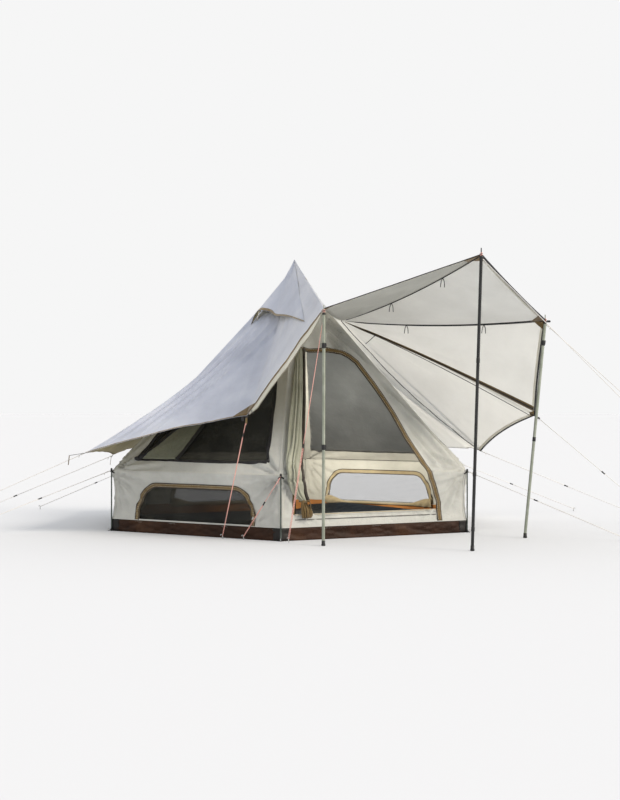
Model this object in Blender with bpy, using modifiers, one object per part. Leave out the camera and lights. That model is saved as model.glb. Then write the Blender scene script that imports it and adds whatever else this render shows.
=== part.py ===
"""Hexagonal glamping tent with a raised awning.

Metres, +Z up. The origin is on the ground under the centre pole, and the door side faces -Y.
Fabric is a closed solid a few millimetres thick, split where the real panels are sewn.
"""
import math

import bmesh
import bpy
from mathutils import Matrix, Vector

# Driving dimensions of the tent
CORNER_RADIUS = 2.0
SIDES = 6
WALL_HEIGHT = 0.59
ROOF_PEAK = 2.61
UPSTAND_HEIGHT = 0.115
CANVAS = 0.004
GROUNDSHEET = 0.005
NETTING = 0.002
FLY_CLOTH = 0.003
GAP = 0.0003

# Openings, measured on each flat side: distance from its middle, then height or way up the slope
WINDOW_HALF_WIDTH = 0.67
WINDOW_BOTTOM = 0.125
WINDOW_TOP = 0.445
WINDOW_CORNER_WIDTH = 0.20
WINDOW_CORNER_HEIGHT = 0.27
NET_BOTTOM_SLOPE = 0.15
NET_TOP_SLOPE = 1.60
NET_BOTTOM_HALF = 0.785
NET_TOP_HALF = 0.27
SILL_TOP = 0.236
DOOR_LEFT_MARGIN = 0.14
DOOR_RIGHT_WALL = [(0.715, SILL_TOP), (0.72, 0.30), (0.676, 0.43), (0.60, WALL_HEIGHT)]
DOOR_RIGHT_ROOF = [(0.545, 0.25), (0.505, 0.45), (0.474, 0.751), (0.392, 1.14), (0.308, 1.428),
                   (0.25, 1.51), (0.181, 1.565), (0.08, 1.595), (0.017, 1.60)]
DOOR_TOP_LEFT = (-0.25, 1.60)
DOOR_TOP_START = 1.54

# Gathered door: way down the roof and then the wall, with how thick the bundle is there
BUNDLE_INSET = 0.10
BUNDLE_ROOF = [(1.50, 0.026), (1.20, 0.036), (0.80, 0.044), (0.42, 0.040), (0.16, 0.030)]
BUNDLE_EAVE = (-0.88, 0.040)
BUNDLE_WALL = [(-0.87, 0.46, 0.046), (-0.84, 0.34, 0.028), (-0.82, 0.27, 0.012)]

# Poles: foot, height of the top, and where the top leans to
POLE_RADIUS = 0.014
WALL_POLE_RADIUS = 0.007
WALL_POLE_HEIGHT = 0.61
CENTRE_POLE_RADIUS = 0.0125
CENTRE_PIN_RADIUS = 0.005
CENTRE_PIN_TOP = 2.605
CENTRE_PIN_LENGTH = 0.015
HUB_HOLE = 0.03
FRONT_POLE = ((-0.85, -2.28), (-0.85, -2.29), 2.12)
TALL_POLE = ((0.08, -3.24), (0.15, -3.27), 2.58)
RIGHT_POLE = ((1.17, -2.47), (1.34, -2.55), 2.08)
PIN_LENGTH = 0.07
PIN_SHARE = 0.35
FOOT_LENGTH = 0.04
SHOULDER_STEP = 0.002

# Fly: collar under the cap, then each corner with its place and the sag of its seam
CAP_TOP = 2.75
CAP_RADIUS = 0.0765
CAP_TIP_RADIUS = 0.003
COLLAR_RADIUS = 0.078
COLLAR_HEIGHT = 2.607
FRONT_CORNER = (-0.848, -2.285, 2.09, 1.0)
LEFT_CORNER = (-1.20, -1.43, 1.14, 1.15)
FAR_LEFT_CORNER = (-2.39, -0.32, 0.78, 1.5)
REAR_LEFT_CORNER = (-1.80, 0.55, 0.72, 1.05)
EAVE_OVERHANG = 2.15
EAVE_HEM_HEIGHT = 0.74
EAVE_SAG = 1.2
RIGHT_REAR_CORNER = (1.63, -1.03, 0.76, 1.15)
SHOULDER = (0.29, -0.50, 2.10)
AWNING_PEAK = (0.1503, -3.2659, 2.525)
AWNING_RIGHT = (1.3376, -2.5464, 2.03)
AWNING_LOW = (1.60, -2.02, 1.14)
SEAM_TRIM = 0.0009
RIDGE_TRIM = 0.0024

# Rows and columns of the fly's grid, and those that the vent hood covers
FLY_COLUMNS = 4
FLY_ROWS = 12
HOOD_COLUMNS = (1, 7)
HOOD_ROWS = (0, 3)
HOOD_LIFT = 0.085

# Guy lines and pegs
LINE_RADIUS = 0.002
PEG_RADIUS = 0.005
PEG_HEIGHT = 0.03
CORNER_GUY_SPREAD = 1.6
WALL_GUY_DROP = 0.02
POLE_GUY_DROP = 0.012

# Pegs, as places on the ground
FRONT_CORNER_PEG = (-1.24, -1.44)
FRONT_POLE_PEG = (-0.98, -1.85)
TALL_POLE_PEG = (2.64, -4.01)
RIGHT_POLE_PEG = (3.14, -3.71)
LEFT_PEG = (-1.38, -1.28)
FAR_LEFT_PEG = (-4.0, 0.2)
REAR_LEFT_PEG = (-3.30, 1.26)
AWNING_LOW_PEG = (2.60, -2.87)
AWNING_REAR_PEG = (3.27, -1.75)

# How far each fly guy starts out from its corner, and how far below it, so that it just clears
LEFT_SEAT = (0.0, 0.0034)
FAR_LEFT_SEAT = (-0.0006, 0.0)
REAR_LEFT_SEAT = (0.0004, 0.0)
AWNING_LOW_SEAT = (-0.0016, 0.0)
AWNING_REAR_SEAT = (0.0002, 0.0)

COLOURS = {
    "canvas": ((0.55, 0.54, 0.48), 0.85, 0.0),
    "fly_cloth": ((0.50, 0.53, 0.60), 0.55, 0.0),
    "awning_cloth": ((0.66, 0.66, 0.61), 0.75, 0.0),
    "netting": ((0.03, 0.03, 0.025), 0.9, 0.0),
    "upstand": ((0.07, 0.04, 0.03), 0.7, 0.0),
    "groundsheet": ((0.02, 0.03, 0.045), 0.6, 0.0),
    "grey_tube": ((0.42, 0.44, 0.38), 0.4, 0.8),
    "black_tube": ((0.01, 0.01, 0.01), 0.4, 0.7),
    "guy_line": ((0.72, 0.35, 0.30), 0.8, 0.0),
}

UP = Vector((0, 0, 1))
TURN = 2 * math.pi / SIDES
INRADIUS = CORNER_RADIUS * math.cos(TURN / 2)
SLOPE_LENGTH = math.hypot(INRADIUS, ROOF_PEAK - WALL_HEIGHT)
ROOF_LEAN = math.asin(INRADIUS / SLOPE_LENGTH)
SIDE_TRIM = CANVAS / 2 * math.tan(TURN / 2) + GAP / 2
# Side 0 lies between the corners at 0 and 60 degrees; the rest follow counter-clockwise
SIDE_NAMES = ["back_right", "back_left", "left", "front_left", "door", "right"]
CORNER_NAMES = ["right", "back_right", "back_left", "left", "front", "front_right"]


def clear_scene():
    for item in list(bpy.data.objects):
        bpy.data.objects.remove(item, do_unlink=True)


def make_material(name):
    colour, roughness, metallic = COLOURS[name]
    material = bpy.data.materials.new(name)
    material.use_nodes = True
    shader = material.node_tree.nodes["Principled BSDF"]
    shader.inputs["Base Color"].default_value = (*colour, 1)
    shader.inputs["Roughness"].default_value = roughness
    shader.inputs["Metallic"].default_value = metallic
    return material


def corner(index):
    angle = index * TURN
    return Vector((CORNER_RADIUS * math.cos(angle), CORNER_RADIUS * math.sin(angle), 0))


def frame_matrix(origin, right, up):
    """Matrix of a flat side: x to the right, y up along it, z out of it."""
    turn = Matrix((right, up, right.cross(up))).transposed()
    return Matrix.Translation(origin) @ turn.to_4x4()


def side_frames(index):
    """Wall and roof matrices of one side."""
    start, end = corner(index), corner(index + 1)
    right = (end - start).normalized()
    middle = (start + end) / 2
    eave = middle + UP * WALL_HEIGHT
    slope = (UP * ROOF_PEAK - eave).normalized()
    return frame_matrix(middle, right, UP), frame_matrix(eave, right, slope)


def fill_outline(bm, loops, matrix):
    """Fills a flat outline, with any further loops as holes, and puts it in place."""
    edges = []
    for loop in loops:
        verts = [bm.verts.new(matrix @ Vector((x, y, 0))) for x, y in loop]
        edges += [bm.edges.new((a, b)) for a, b in zip(verts, verts[1:] + verts[:1])]
    normal = matrix.to_3x3() @ UP
    bmesh.ops.triangle_fill(bm, use_beauty=True, use_dissolve=False, edges=edges, normal=normal)


def solid_from_surface(name, bm, thickness, material, smooth=False):
    """One closed solid of even thickness about an open surface."""
    bmesh.ops.remove_doubles(bm, verts=bm.verts, dist=0.00005)
    bmesh.ops.recalc_face_normals(bm, faces=bm.faces)
    mesh = bpy.data.meshes.new(name)
    bm.to_mesh(mesh)
    bm.free()
    item = add_object(name, mesh, material)
    solidify = item.modifiers.new("thickness", "SOLIDIFY")
    solidify.thickness = thickness
    solidify.offset = 0
    solidify.use_even_offset = True
    if smooth:
        mesh.shade_smooth()
    return item


def add_object(name, mesh, material):
    item = bpy.data.objects.new(name, mesh)
    mesh.materials.append(material)
    tent.objects.link(item)
    return item


def tube(name, points, radius, material, radii=None, resolution=2):
    """Closed tube along points, with an optional radius factor at each."""
    curve = bpy.data.curves.new(name, "CURVE")
    curve.dimensions = "3D"
    curve.bevel_depth = radius
    curve.bevel_resolution = resolution
    curve.use_fill_caps = True
    spline = curve.splines.new("POLY")
    spline.points.add(len(points) - 1)
    for index, point in enumerate(points):
        spline.points[index].co = (*point, 1)
        spline.points[index].radius = radii[index] if radii else 1
    holder = bpy.data.objects.new(name + "_route", curve)
    tent.objects.link(holder)
    bpy.context.view_layer.update()
    evaluated = holder.evaluated_get(bpy.context.evaluated_depsgraph_get())
    mesh = bpy.data.meshes.new_from_object(evaluated)
    bpy.data.objects.remove(holder, do_unlink=True)
    bpy.data.curves.remove(curve)
    bm = bmesh.new()
    bm.from_mesh(mesh)
    bmesh.ops.remove_doubles(bm, verts=bm.verts, dist=0.00005)
    bmesh.ops.recalc_face_normals(bm, faces=bm.faces)
    bm.to_mesh(mesh)
    bm.free()
    mesh.name = name
    mesh.materials.clear()
    mesh.shade_smooth()
    mesh.set_sharp_from_angle(angle=math.radians(40))
    return add_object(name, mesh, material)


def hip_half(slope):
    """Half the width of a roof side at a way up its slope."""
    return CORNER_RADIUS / 2 * (1 - slope / SLOPE_LENGTH)


def arc(centre, width, height, start, end, steps=6):
    """Points of a part of an ellipse, in degrees."""
    turns = [math.radians(start + (end - start) * i / steps) for i in range(steps + 1)]
    return [(centre[0] + width * math.cos(a), centre[1] + height * math.sin(a)) for a in turns]


def window_outline(inset=0.0):
    half, low, high = WINDOW_HALF_WIDTH - inset, WINDOW_BOTTOM + inset, WINDOW_TOP - inset
    width, height = WINDOW_CORNER_WIDTH - inset, WINDOW_CORNER_HEIGHT - inset
    return ([(-half, low), (half, low)]
            + arc((half - width, high - height), width, height, 0, 90)
            + arc((width - half, high - height), width, height, 90, 180))


def net_outline(inset=0.0):
    slant = (NET_BOTTOM_HALF - NET_TOP_HALF) / (NET_TOP_SLOPE - NET_BOTTOM_SLOPE)
    side = inset * math.hypot(1, slant)
    low, high = NET_BOTTOM_SLOPE + inset, NET_TOP_SLOPE - inset
    half_low = NET_BOTTOM_HALF - side - inset * slant
    half_high = NET_TOP_HALF - side + inset * slant
    return [(-half_low, low), (half_low, low), (half_high, high), (-half_high, high)]


def wall_corners():
    half = CORNER_RADIUS / 2 - SIDE_TRIM
    low = UPSTAND_HEIGHT + GAP
    return (-half, low), (half, low), (half, WALL_HEIGHT), (-half, WALL_HEIGHT)


def roof_corners():
    half = CORNER_RADIUS / 2 - SIDE_TRIM
    top = SLOPE_LENGTH * (1 - HUB_HOLE / INRADIUS)
    half_top = hip_half(top) - SIDE_TRIM
    return (-half, 0), (half, 0), (half_top, top), (-half_top, top)


def make_window_side(index, material):
    """Wall and roof canvas of a side with an arched window and a roof window."""
    wall, roof = side_frames(index)
    bm = bmesh.new()
    fill_outline(bm, [wall_corners(), window_outline()], wall)
    fill_outline(bm, [roof_corners(), net_outline()], roof)
    return solid_from_surface(SIDE_NAMES[index] + "_side", bm, CANVAS, material)


def make_nets(index, material):
    """Netting of the arched window and of the roof window, set flush in their openings."""
    wall, roof = side_frames(index)
    for label, outline, matrix in (("window_net", window_outline(GAP), wall),
                                   ("roof_net", net_outline(GAP), roof)):
        bm = bmesh.new()
        fill_outline(bm, [outline], matrix)
        solid_from_surface(f"{SIDE_NAMES[index]}_{label}", bm, NETTING, material)


def door_left(slope):
    """Left edge of the doorway, which runs alongside the hip."""
    return DOOR_LEFT_MARGIN - hip_half(slope)


def make_door_side(index, material):
    """Canvas of the door side, with the doorway cut from the sill to high in the roof."""
    wall, roof = side_frames(index)
    low_left, low_right, high_right, high_left = wall_corners()
    eave_left = door_left(0)
    wall_loop = [low_left, low_right, high_right]
    wall_loop += list(reversed(DOOR_RIGHT_WALL))
    wall_loop += [(eave_left, SILL_TOP), (eave_left, WALL_HEIGHT), high_left]
    foot_left, foot_right, top_right, top_left = roof_corners()
    roof_loop = [foot_left, (eave_left, 0), (door_left(DOOR_TOP_START), DOOR_TOP_START), DOOR_TOP_LEFT]
    roof_loop += list(reversed(DOOR_RIGHT_ROOF))
    roof_loop += [(DOOR_RIGHT_WALL[-1][0], 0), foot_right, top_right, top_left]
    bm = bmesh.new()
    fill_outline(bm, [wall_loop], wall)
    fill_outline(bm, [roof_loop], roof)
    solid_from_surface(SIDE_NAMES[index] + "_side", bm, CANVAS, material)


def make_gathered_door(index, material):
    """The open door panel, drawn to the left edge of the doorway and tied there."""
    wall, roof = side_frames(index)
    path = []
    for slope, radius in BUNDLE_ROOF:
        across = BUNDLE_INSET - hip_half(slope)
        path.append((roof @ Vector((across, slope, CANVAS / 2 + radius + GAP)), radius))
    across, radius = BUNDLE_EAVE
    between = (wall.to_3x3() @ UP + roof.to_3x3() @ UP).normalized()
    lift = (CANVAS / 2 + radius) / math.cos(ROOF_LEAN / 2) + GAP
    path.append((roof @ Vector((across, 0, 0)) + between * lift, radius))
    for across, height, radius in BUNDLE_WALL:
        path.append((wall @ Vector((across, height, CANVAS / 2 + radius + GAP)), radius))
    tube("gathered_door", [p for p, r in path], 1.0, material, [r for p, r in path], resolution=5)


def make_floor(sheet_material, edge_material):
    """Groundsheet, and the waterproof upstand round its edge."""
    face_turn = Matrix.Rotation(TURN / 2, 4, "Z")
    bm = bmesh.new()
    bmesh.ops.create_cone(bm, cap_ends=True, segments=SIDES, radius1=CORNER_RADIUS - 0.003,
                          radius2=CORNER_RADIUS - 0.003, depth=GROUNDSHEET,
                          matrix=Matrix.Translation((0, 0, GROUNDSHEET / 2)) @ face_turn)
    mesh = bpy.data.meshes.new("groundsheet")
    bm.to_mesh(mesh)
    bm.free()
    add_object("groundsheet", mesh, sheet_material)
    bm = bmesh.new()
    bmesh.ops.create_cone(bm, cap_ends=False, segments=SIDES, radius1=CORNER_RADIUS,
                          radius2=CORNER_RADIUS, depth=UPSTAND_HEIGHT,
                          matrix=Matrix.Translation((0, 0, UPSTAND_HEIGHT / 2)) @ face_turn)
    solid_from_surface("floor_upstand", bm, CANVAS, edge_material)


def make_centre_pole(material):
    shoulder = CENTRE_PIN_TOP - CENTRE_PIN_LENGTH
    heights = [GROUNDSHEET + GAP, shoulder, shoulder + SHOULDER_STEP, CENTRE_PIN_TOP]
    points = [(0, 0, height) for height in heights]
    thin = CENTRE_PIN_RADIUS / CENTRE_POLE_RADIUS
    tube("centre_pole", points, CENTRE_POLE_RADIUS, material, [1, 1, thin, thin])


def make_wall_poles(material):
    reach = CORNER_RADIUS + CANVAS / 2 / math.cos(TURN / 2) + WALL_POLE_RADIUS + GAP
    for index, name in enumerate(CORNER_NAMES):
        foot = corner(index).normalized() * reach
        tube(name + "_wall_pole", [foot, foot + UP * WALL_POLE_HEIGHT], WALL_POLE_RADIUS, material)


def make_awning_poles(grey, black):
    """Telescopic poles, upright in a short foot and then leaning to their tops."""
    for name, (foot, top, height), material in (("front_pole", FRONT_POLE, grey),
                                                ("tall_pole", TALL_POLE, black),
                                                ("right_pole", RIGHT_POLE, grey)):
        start = Vector((*foot, 0))
        shoulder = Vector((*top, height - PIN_LENGTH))
        pin = Vector((*top, height))
        points = [start, start + UP * FOOT_LENGTH, shoulder, shoulder + UP * SHOULDER_STEP, pin]
        tube(name, points, POLE_RADIUS, material, [1, 1, 1, PIN_SHARE, PIN_SHARE], resolution=6)


def fly_point(corner_from, corner_to, across, out):
    """A point on the fly between two of its corner seams: across from one to the other, out from
    the collar to the hem."""
    hem = Vector(corner_from[:2]).lerp(Vector(corner_to[:2]), across)
    height = corner_from[2] + (corner_to[2] - corner_from[2]) * across
    sag = corner_from[3] + (corner_to[3] - corner_from[3]) * across
    collar = hem.normalized() * COLLAR_RADIUS
    place = collar.lerp(hem, out)
    return Vector((*place, height + (COLLAR_HEIGHT - height) * (1 - out) ** sag))


def fly_grid(corners):
    """Rows of points, collar to hem, from the first corner seam of a run of the fly to its last."""
    grid = []
    for start, end in zip(corners, corners[1:]):
        for step in range(FLY_COLUMNS + (end is corners[-1])):
            across = step / FLY_COLUMNS
            grid.append([fly_point(start, end, across, out / FLY_ROWS) for out in range(FLY_ROWS + 1)])
    for column, inner in ((0, 1), (-1, -2)):
        for row in range(FLY_ROWS + 1):
            along = (grid[inner][row] - grid[column][row]).normalized()
            grid[column][row] = grid[column][row] + along * SEAM_TRIM
    return grid


def make_fly_panel(name, corners, material):
    """A sewn run of the fly from its first corner seam to its last."""
    bm = bmesh.new()
    verts = [[bm.verts.new(point) for point in line] for line in fly_grid(corners)]
    for left, right in zip(verts, verts[1:]):
        for row in range(FLY_ROWS):
            bm.faces.new((left[row], left[row + 1], right[row + 1], right[row]))
    return solid_from_surface(name, bm, FLY_CLOTH, material, smooth=True)


def plane_normal(a, b, c):
    return (b - a).cross(c - a).normalized()


def make_flat_panel(name, points, trims, material):
    """A taut three-cornered panel; each side is drawn back by its trim, so that the thick
    cloths of two panels meet without crossing."""
    a, b, c = points
    right = (b - a).normalized()
    normal = plane_normal(a, b, c)
    matrix = frame_matrix(a, right, normal.cross(right))
    flat = [matrix.inverted() @ p for p in points]
    loop = []
    for i in range(3):
        here, ahead, behind = flat[i], flat[(i + 1) % 3], flat[i - 1]
        out_dir, in_dir = (ahead - here).normalized(), (here - behind).normalized()
        turn = out_dir.cross(in_dir * -1).z
        step = (out_dir * trims[i - 1] + in_dir * -1 * trims[i]) / turn
        loop.append(((here + step).x, (here + step).y))
    bm = bmesh.new()
    fill_outline(bm, [loop], matrix)
    return solid_from_surface(name, bm, FLY_CLOTH, material)


def seam_trim(normal_a, normal_b):
    """How far each of two panels that meet at a seam is drawn back from it."""
    fold = normal_a.angle(normal_b)
    return FLY_CLOTH / 2 * math.tan(fold / 2) + GAP / 2


def make_awning(fly_material, awning_material):
    """Flat panels of the raised side of the fly, which spread from its shoulder."""
    shoulder = Vector(SHOULDER)
    peak_side = Vector((shoulder.x, shoulder.y, 0)).normalized() * COLLAR_RADIUS + UP * COLLAR_HEIGHT
    hem = [Vector(FRONT_CORNER[:3]), Vector(AWNING_PEAK), Vector(AWNING_RIGHT), Vector(AWNING_LOW),
           Vector(RIGHT_REAR_CORNER[:3])]
    panels = [("front_fly_gusset", (shoulder, peak_side, hem[0]), fly_material),
              ("awning_header", (shoulder, hem[0], hem[1]), awning_material),
              ("awning_top", (shoulder, hem[1], hem[2]), awning_material),
              ("awning_side", (shoulder, hem[2], hem[3]), awning_material),
              ("awning_rear", (shoulder, hem[3], hem[4]), awning_material),
              ("right_fly_gusset", (shoulder, hem[4], peak_side), fly_material)]
    normals = [plane_normal(*points) for name, points, material in panels]
    for index, (name, points, material) in enumerate(panels):
        before = seam_trim(normals[index], normals[index - 1])
        after = seam_trim(normals[index], normals[(index + 1) % len(panels)])
        outer = RIDGE_TRIM if name == "front_fly_gusset" else SEAM_TRIM
        make_flat_panel(name, points, (before, outer, after), material)


def make_cap(material):
    """Cone that closes the fly over the pin of the centre pole."""
    base = CENTRE_PIN_TOP + GAP
    bm = bmesh.new()
    height = CAP_TOP - base
    bmesh.ops.create_cone(bm, cap_ends=True, segments=16, radius1=CAP_RADIUS,
                          radius2=CAP_TIP_RADIUS, depth=height,
                          matrix=Matrix.Translation((0, 0, base + height / 2)))
    mesh = bpy.data.meshes.new("fly_cap")
    bm.to_mesh(mesh)
    bm.free()
    add_object("fly_cap", mesh, material)


def make_vent_hood(corners, material):
    """Arched hood over the vent: it lies on the fly at its top and ends, and stands off at its lip."""
    grid = fly_grid(corners)
    first, last = HOOD_COLUMNS
    bm = bmesh.new()
    lines = []
    for column in range(first, last + 1):
        share = (column - first) / (last - first)
        line = []
        for row in range(HOOD_ROWS[0], HOOD_ROWS[1] + 1):
            out = (row - HOOD_ROWS[0]) / (HOOD_ROWS[1] - HOOD_ROWS[0])
            point = grid[column][row]
            across = grid[column + 1][row] - grid[column - 1][row]
            down = grid[column][row + 1] - grid[column][row - 1]
            normal = across.cross(down).normalized()
            if normal.z < 0:
                normal.negate()
            lift = FLY_CLOTH + 2 * GAP + HOOD_LIFT * math.sin(math.pi * share) * out
            line.append(bm.verts.new(point + normal * lift))
        lines.append(line)
    for left, right in zip(lines, lines[1:]):
        for row in range(len(left) - 1):
            bm.faces.new((left[row], left[row + 1], right[row + 1], right[row]))
    solid_from_surface("vent_hood", bm, FLY_CLOTH, material, smooth=True)


def make_guy(name, top, peg, carrier_radius, material):
    """A taut line from what carries it to its peg, of which the head stands above ground."""
    top, peg = Vector(top), Vector((*peg, 0))
    level = Vector((peg.x - top.x, peg.y - top.y, 0))
    steep = math.atan2(top.z - PEG_HEIGHT, level.length)
    start = top + level.normalized() * (carrier_radius + LINE_RADIUS * math.sin(steep) + GAP)
    head = peg + UP * PEG_HEIGHT
    thick = PEG_RADIUS / LINE_RADIUS
    near = head.lerp(start, 0.02)
    tube(name, [start, near, head, peg], LINE_RADIUS, material, [1, 1, thick, thick])


def make_guys(material):
    reach = CORNER_RADIUS + CANVAS / 2 / math.cos(TURN / 2) + WALL_POLE_RADIUS + GAP
    for index, name in enumerate(CORNER_NAMES):
        way = corner(index).normalized()
        top = way * reach + UP * (WALL_POLE_HEIGHT - WALL_GUY_DROP)
        if name == "front":
            peg = FRONT_CORNER_PEG
        else:
            peg = (way * (CORNER_RADIUS + CORNER_GUY_SPREAD)).xy
        make_guy(name + "_wall_guy", top, peg, WALL_POLE_RADIUS, material)
    for name, (foot, top, height), peg in (("front_pole_guy", FRONT_POLE, FRONT_POLE_PEG),
                                           ("tall_pole_guy", TALL_POLE, TALL_POLE_PEG),
                                           ("right_pole_guy", RIGHT_POLE, RIGHT_POLE_PEG)):
        shoulder = height - PIN_LENGTH
        drop = POLE_GUY_DROP / shoulder
        place = Vector(top).lerp(Vector(foot), drop)
        make_guy(name, (*place, shoulder - POLE_GUY_DROP), peg, POLE_RADIUS, material)
    for name, place, peg, seat in (("left_fly_guy", LEFT_CORNER, LEFT_PEG, LEFT_SEAT),
                                   ("far_left_fly_guy", FAR_LEFT_CORNER, FAR_LEFT_PEG, FAR_LEFT_SEAT),
                                   ("rear_left_fly_guy", REAR_LEFT_CORNER, REAR_LEFT_PEG, REAR_LEFT_SEAT),
                                   ("awning_low_guy", AWNING_LOW, AWNING_LOW_PEG, AWNING_LOW_SEAT),
                                   ("awning_rear_guy", RIGHT_REAR_CORNER, AWNING_REAR_PEG,
                                    AWNING_REAR_SEAT)):
        make_guy(name, Vector(place[:3]) - UP * seat[1], peg, seat[0], material)


clear_scene()
tent = bpy.data.collections.new("glamping_tent")
bpy.context.scene.collection.children.link(tent)
materials = {name: make_material(name) for name in COLOURS}

make_floor(materials["groundsheet"], materials["upstand"])
for side, side_name in enumerate(SIDE_NAMES):
    if side_name == "door":
        make_door_side(side, materials["canvas"])
        make_gathered_door(side, materials["canvas"])
    else:
        make_window_side(side, materials["canvas"])
        make_nets(side, materials["netting"])
make_centre_pole(materials["black_tube"])
make_wall_poles(materials["grey_tube"])
make_awning_poles(materials["grey_tube"], materials["black_tube"])

rear_hem = []
for hem_corner in (2, 1, 0):
    hem_place = corner(hem_corner).normalized() * EAVE_OVERHANG
    rear_hem.append((hem_place.x, hem_place.y, EAVE_HEM_HEIGHT, EAVE_SAG))
front_left_run = [FRONT_CORNER, LEFT_CORNER, FAR_LEFT_CORNER]
make_fly_panel("front_left_fly", front_left_run, materials["fly_cloth"])
make_fly_panel("left_fly", [FAR_LEFT_CORNER, REAR_LEFT_CORNER, rear_hem[0]], materials["fly_cloth"])
make_fly_panel("back_fly", rear_hem[0:2], materials["fly_cloth"])
make_fly_panel("right_fly", [rear_hem[1], rear_hem[2], RIGHT_REAR_CORNER], materials["fly_cloth"])
make_awning(materials["fly_cloth"], materials["awning_cloth"])
make_cap(materials["fly_cloth"])
make_vent_hood(front_left_run, materials["fly_cloth"])
make_guys(materials["guy_line"])
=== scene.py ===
import math
import bmesh
import bpy
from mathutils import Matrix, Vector, noise


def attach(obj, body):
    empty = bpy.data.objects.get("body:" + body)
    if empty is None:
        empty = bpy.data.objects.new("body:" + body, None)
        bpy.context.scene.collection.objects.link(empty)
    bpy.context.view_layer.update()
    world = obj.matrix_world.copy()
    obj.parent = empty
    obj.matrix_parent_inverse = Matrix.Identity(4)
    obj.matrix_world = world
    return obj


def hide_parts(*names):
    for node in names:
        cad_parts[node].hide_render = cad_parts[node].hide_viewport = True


# Hexagonal centre-pole tent with a raised fly. Metres, +Z up, the door side faces -Y.

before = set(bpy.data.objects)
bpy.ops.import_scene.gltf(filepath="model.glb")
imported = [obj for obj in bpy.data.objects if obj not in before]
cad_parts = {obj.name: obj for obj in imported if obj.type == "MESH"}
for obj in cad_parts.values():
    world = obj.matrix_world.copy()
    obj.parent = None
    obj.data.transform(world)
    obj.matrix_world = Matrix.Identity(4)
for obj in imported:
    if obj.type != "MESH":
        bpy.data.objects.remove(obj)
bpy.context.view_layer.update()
up = Vector((0, 0, 1))

tent = {
    "cornerRadius": 2.0, "wallHeight": 0.59, "roofPeak": 2.61, "upstandHeight": 0.115, "hubHole": 0.03,
    "sides": ["back_right", "back_left", "left", "front_left", "door", "right"],
    "corners": ["right", "back_right", "back_left", "left", "front", "front_right"],
}
cornerRadius, eave, roofPeak, upstandTop = [tent[key] for key in ("cornerRadius", "wallHeight", "roofPeak",
                                                                  "upstandHeight")]
apothem = cornerRadius * math.cos(math.pi / 6)
slopeLength = math.hypot(apothem, roofPeak - eave)
doorSide, frontLeft = tent["sides"].index("door"), tent["sides"].index("front_left")


def addObject(name, data, location=(0, 0, 0), turn=(0, 0, 0)):
    made = bpy.data.objects.new(name, data)
    made.location, made.rotation_euler = location, turn
    bpy.context.scene.collection.objects.link(made)
    return made


def meshObject(name, bm, materials=()):
    mesh = bpy.data.meshes.new(name)
    bm.to_mesh(mesh)
    bm.free()
    for material in materials:
        mesh.materials.append(material)
    return addObject(name, mesh)


# Camera: level, at the height of a low eye line, with the focal length fitted to the tent's base
camera = {"azimuth": -27.0, "distance": 15.38, "sideways": 0.16, "height": 1.285, "lens": 66.24, "sensor": 36}


def makeCamera():
    turn = math.radians(camera["azimuth"])
    forward = Vector((-math.sin(turn), math.cos(turn), 0))
    rightward = Vector((forward.y, -forward.x, 0))
    data = bpy.data.cameras.new("camera")
    data.lens, data.sensor_width = camera["lens"], camera["sensor"]
    spot = rightward * camera["sideways"] - forward * camera["distance"] + up * camera["height"]
    bpy.context.scene.camera = addObject("camera", data, spot, (math.pi / 2, 0, turn))


def hexColour(code):
    parts = [int(code[i:i + 2], 16) / 255 for i in (1, 3, 5)]
    linear = [p / 12.92 if p <= 0.04045 else ((p + 0.055) / 1.055) ** 2.4 for p in parts]
    return (*linear, 1)


# An input is given as a value, a socket, or a node, which stands for its first output
def connect(tree, node, inputs):
    for key, value in inputs.items():
        value = value.outputs[0] if isinstance(value, bpy.types.Node) else value
        if isinstance(value, bpy.types.NodeSocket):
            tree.links.new(value, node.inputs[key])
        else:
            node.inputs[key].default_value = value


def addNode(tree, kind, inputs=None, stops=(), **settings):
    node = tree.nodes.new(kind)
    for name, value in settings.items():
        setattr(node, name, value)
    for count, (place, code) in enumerate(stops):
        elements = node.color_ramp.elements
        element = elements[count] if count < 2 else elements.new(1.0)
        element.position, element.color = place, hexColour(code)
    connect(tree, node, inputs or {})
    return node


def newMaterial(name):
    material = bpy.data.materials.new(name)
    material.use_nodes = True
    tree = material.node_tree
    room = addNode(tree, "ShaderNodeTexCoord").outputs["Object"]
    return material, tree, tree.nodes["Principled BSDF"], room


# The two directions of the cloth, in metres, and a wave along one of them
def clothAxes(tree):
    place = addNode(tree, "ShaderNodeUVMap", uv_map="cloth")
    return addNode(tree, "ShaderNodeSeparateXYZ", {"Vector": place}).outputs[:2]


def wave(tree, source, turns, kind="SINE"):
    wide = addNode(tree, "ShaderNodeMath", {0: source, 1: turns * math.tau}, operation="MULTIPLY")
    return addNode(tree, "ShaderNodeMath", {0: wide}, operation=kind)


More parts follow.
